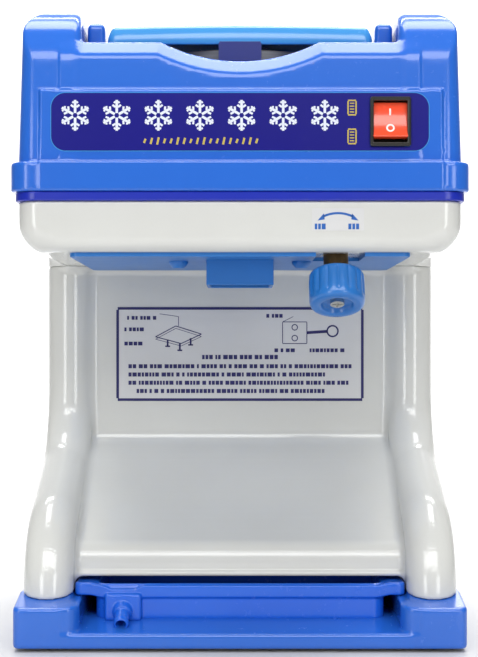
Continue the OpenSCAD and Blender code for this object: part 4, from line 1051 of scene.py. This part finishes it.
for name, (finish, edge) in kept.items():
    node = nodes[name]
    node.data.materials.clear()
    node.data.materials.append(finishes[finish])
    soften(node, edge, 2)
print("kept CAD nodes finished:", len(kept))


room = {
    "reach": 6.0, "bendAt": 1.6, "bend": 1.4, "wall": 5.0, "bendSteps": 24,
    "cameraBack": 0.871, "cameraHeight": 0.1905, "lens": 76.7, "shiftX": -0.0015, "shiftY": 0.0373,
}


def makeRoom():
    # a pale floor that sweeps up into the backdrop
    c = room
    profile = [(-c["reach"], 0.0), (c["bendAt"], 0.0)]
    for i in range(c["bendSteps"] + 1):
        a = math.radians(90 * i / c["bendSteps"])
        profile.append((c["bendAt"] + c["bend"] * math.sin(a), c["bend"] - c["bend"] * math.cos(a)))
    profile.append((c["bendAt"] + c["bend"], c["wall"]))
    bm = bmesh.new()
    rows = [[bm.verts.new((x, y, z)) for x in (-c["reach"], c["reach"])] for y, z in profile]
    for a, b in zip(rows, rows[1:]):
        bm.faces.new([a[0], a[1], b[1], b[0]])
    p = Paint("studioFloor")
    drift = p.noise(3, 2, 0.5).between(0.3, 0.7) * 0.3
    p.set(Base_Color=p.mix(drift, (0.62, 0.62, 0.62), (0.59, 0.59, 0.60)), Roughness=0.6)
    mesh = bpy.data.meshes.new("studioFloor")
    bm.to_mesh(mesh)
    bm.free()
    mesh.shade_smooth()
    mesh.materials.append(p.material)
    floor = bpy.data.objects.new("studioFloor", mesh)
    scene.collection.objects.link(floor)


def softbox(name, at, aim, size, power):
    lamp = bpy.data.lights.new(name, "AREA")
    lamp.shape = "RECTANGLE"
    lamp.size, lamp.size_y = size
    lamp.energy = power
    holder = bpy.data.objects.new(name, lamp)
    holder.location = at
    holder.rotation_euler = (Vector(aim) - Vector(at)).to_track_quat("-Z", "Y").to_euler()
    scene.collection.objects.link(holder)


makeRoom()
middle = (0, 0, 0.2)
softbox("topBox", (0, -0.15, 2.0), middle, (1.7, 0.8), 33)
softbox("keyBox", (0, -1.75, 1.4), middle, (2.2, 0.7), 26)
softbox("leftFill", (-1.0, -1.9, 0.4), middle, (0.5, 0.8), 6)
softbox("rightFill", (1.0, -1.9, 0.4), middle, (0.5, 0.8), 6)
softbox("rearBox", (0.3, 2.0, 1.5), middle, (1.6, 1.0), 12)
softbox("backdropBox", (0, 0.9, 2.4), (0, 3.2, 0.6), (2.6, 0.6), 150)
world = bpy.data.worlds.new("studio")
world.use_nodes = True
sky = world.node_tree.nodes["Background"]
sky.inputs["Color"].default_value = (1, 1, 1, 1)
sky.inputs["Strength"].default_value = 0.14
scene.world = world
scene.view_settings.view_transform = "Standard"

camera = bpy.data.cameras.new("camera")
camera.lens = room["lens"]
camera.sensor_width = 36
camera.shift_x = room["shiftX"]
camera.shift_y = room["shiftY"]
camera.clip_start = 0.01
viewer = bpy.data.objects.new("camera", camera)
viewer.location = (0, coverLow[1] * mm - room["cameraBack"], room["cameraHeight"])
viewer.rotation_euler = (math.radians(90), 0, 0)
scene.collection.objects.link(viewer)
scene.camera = viewer
print("room and camera ready")
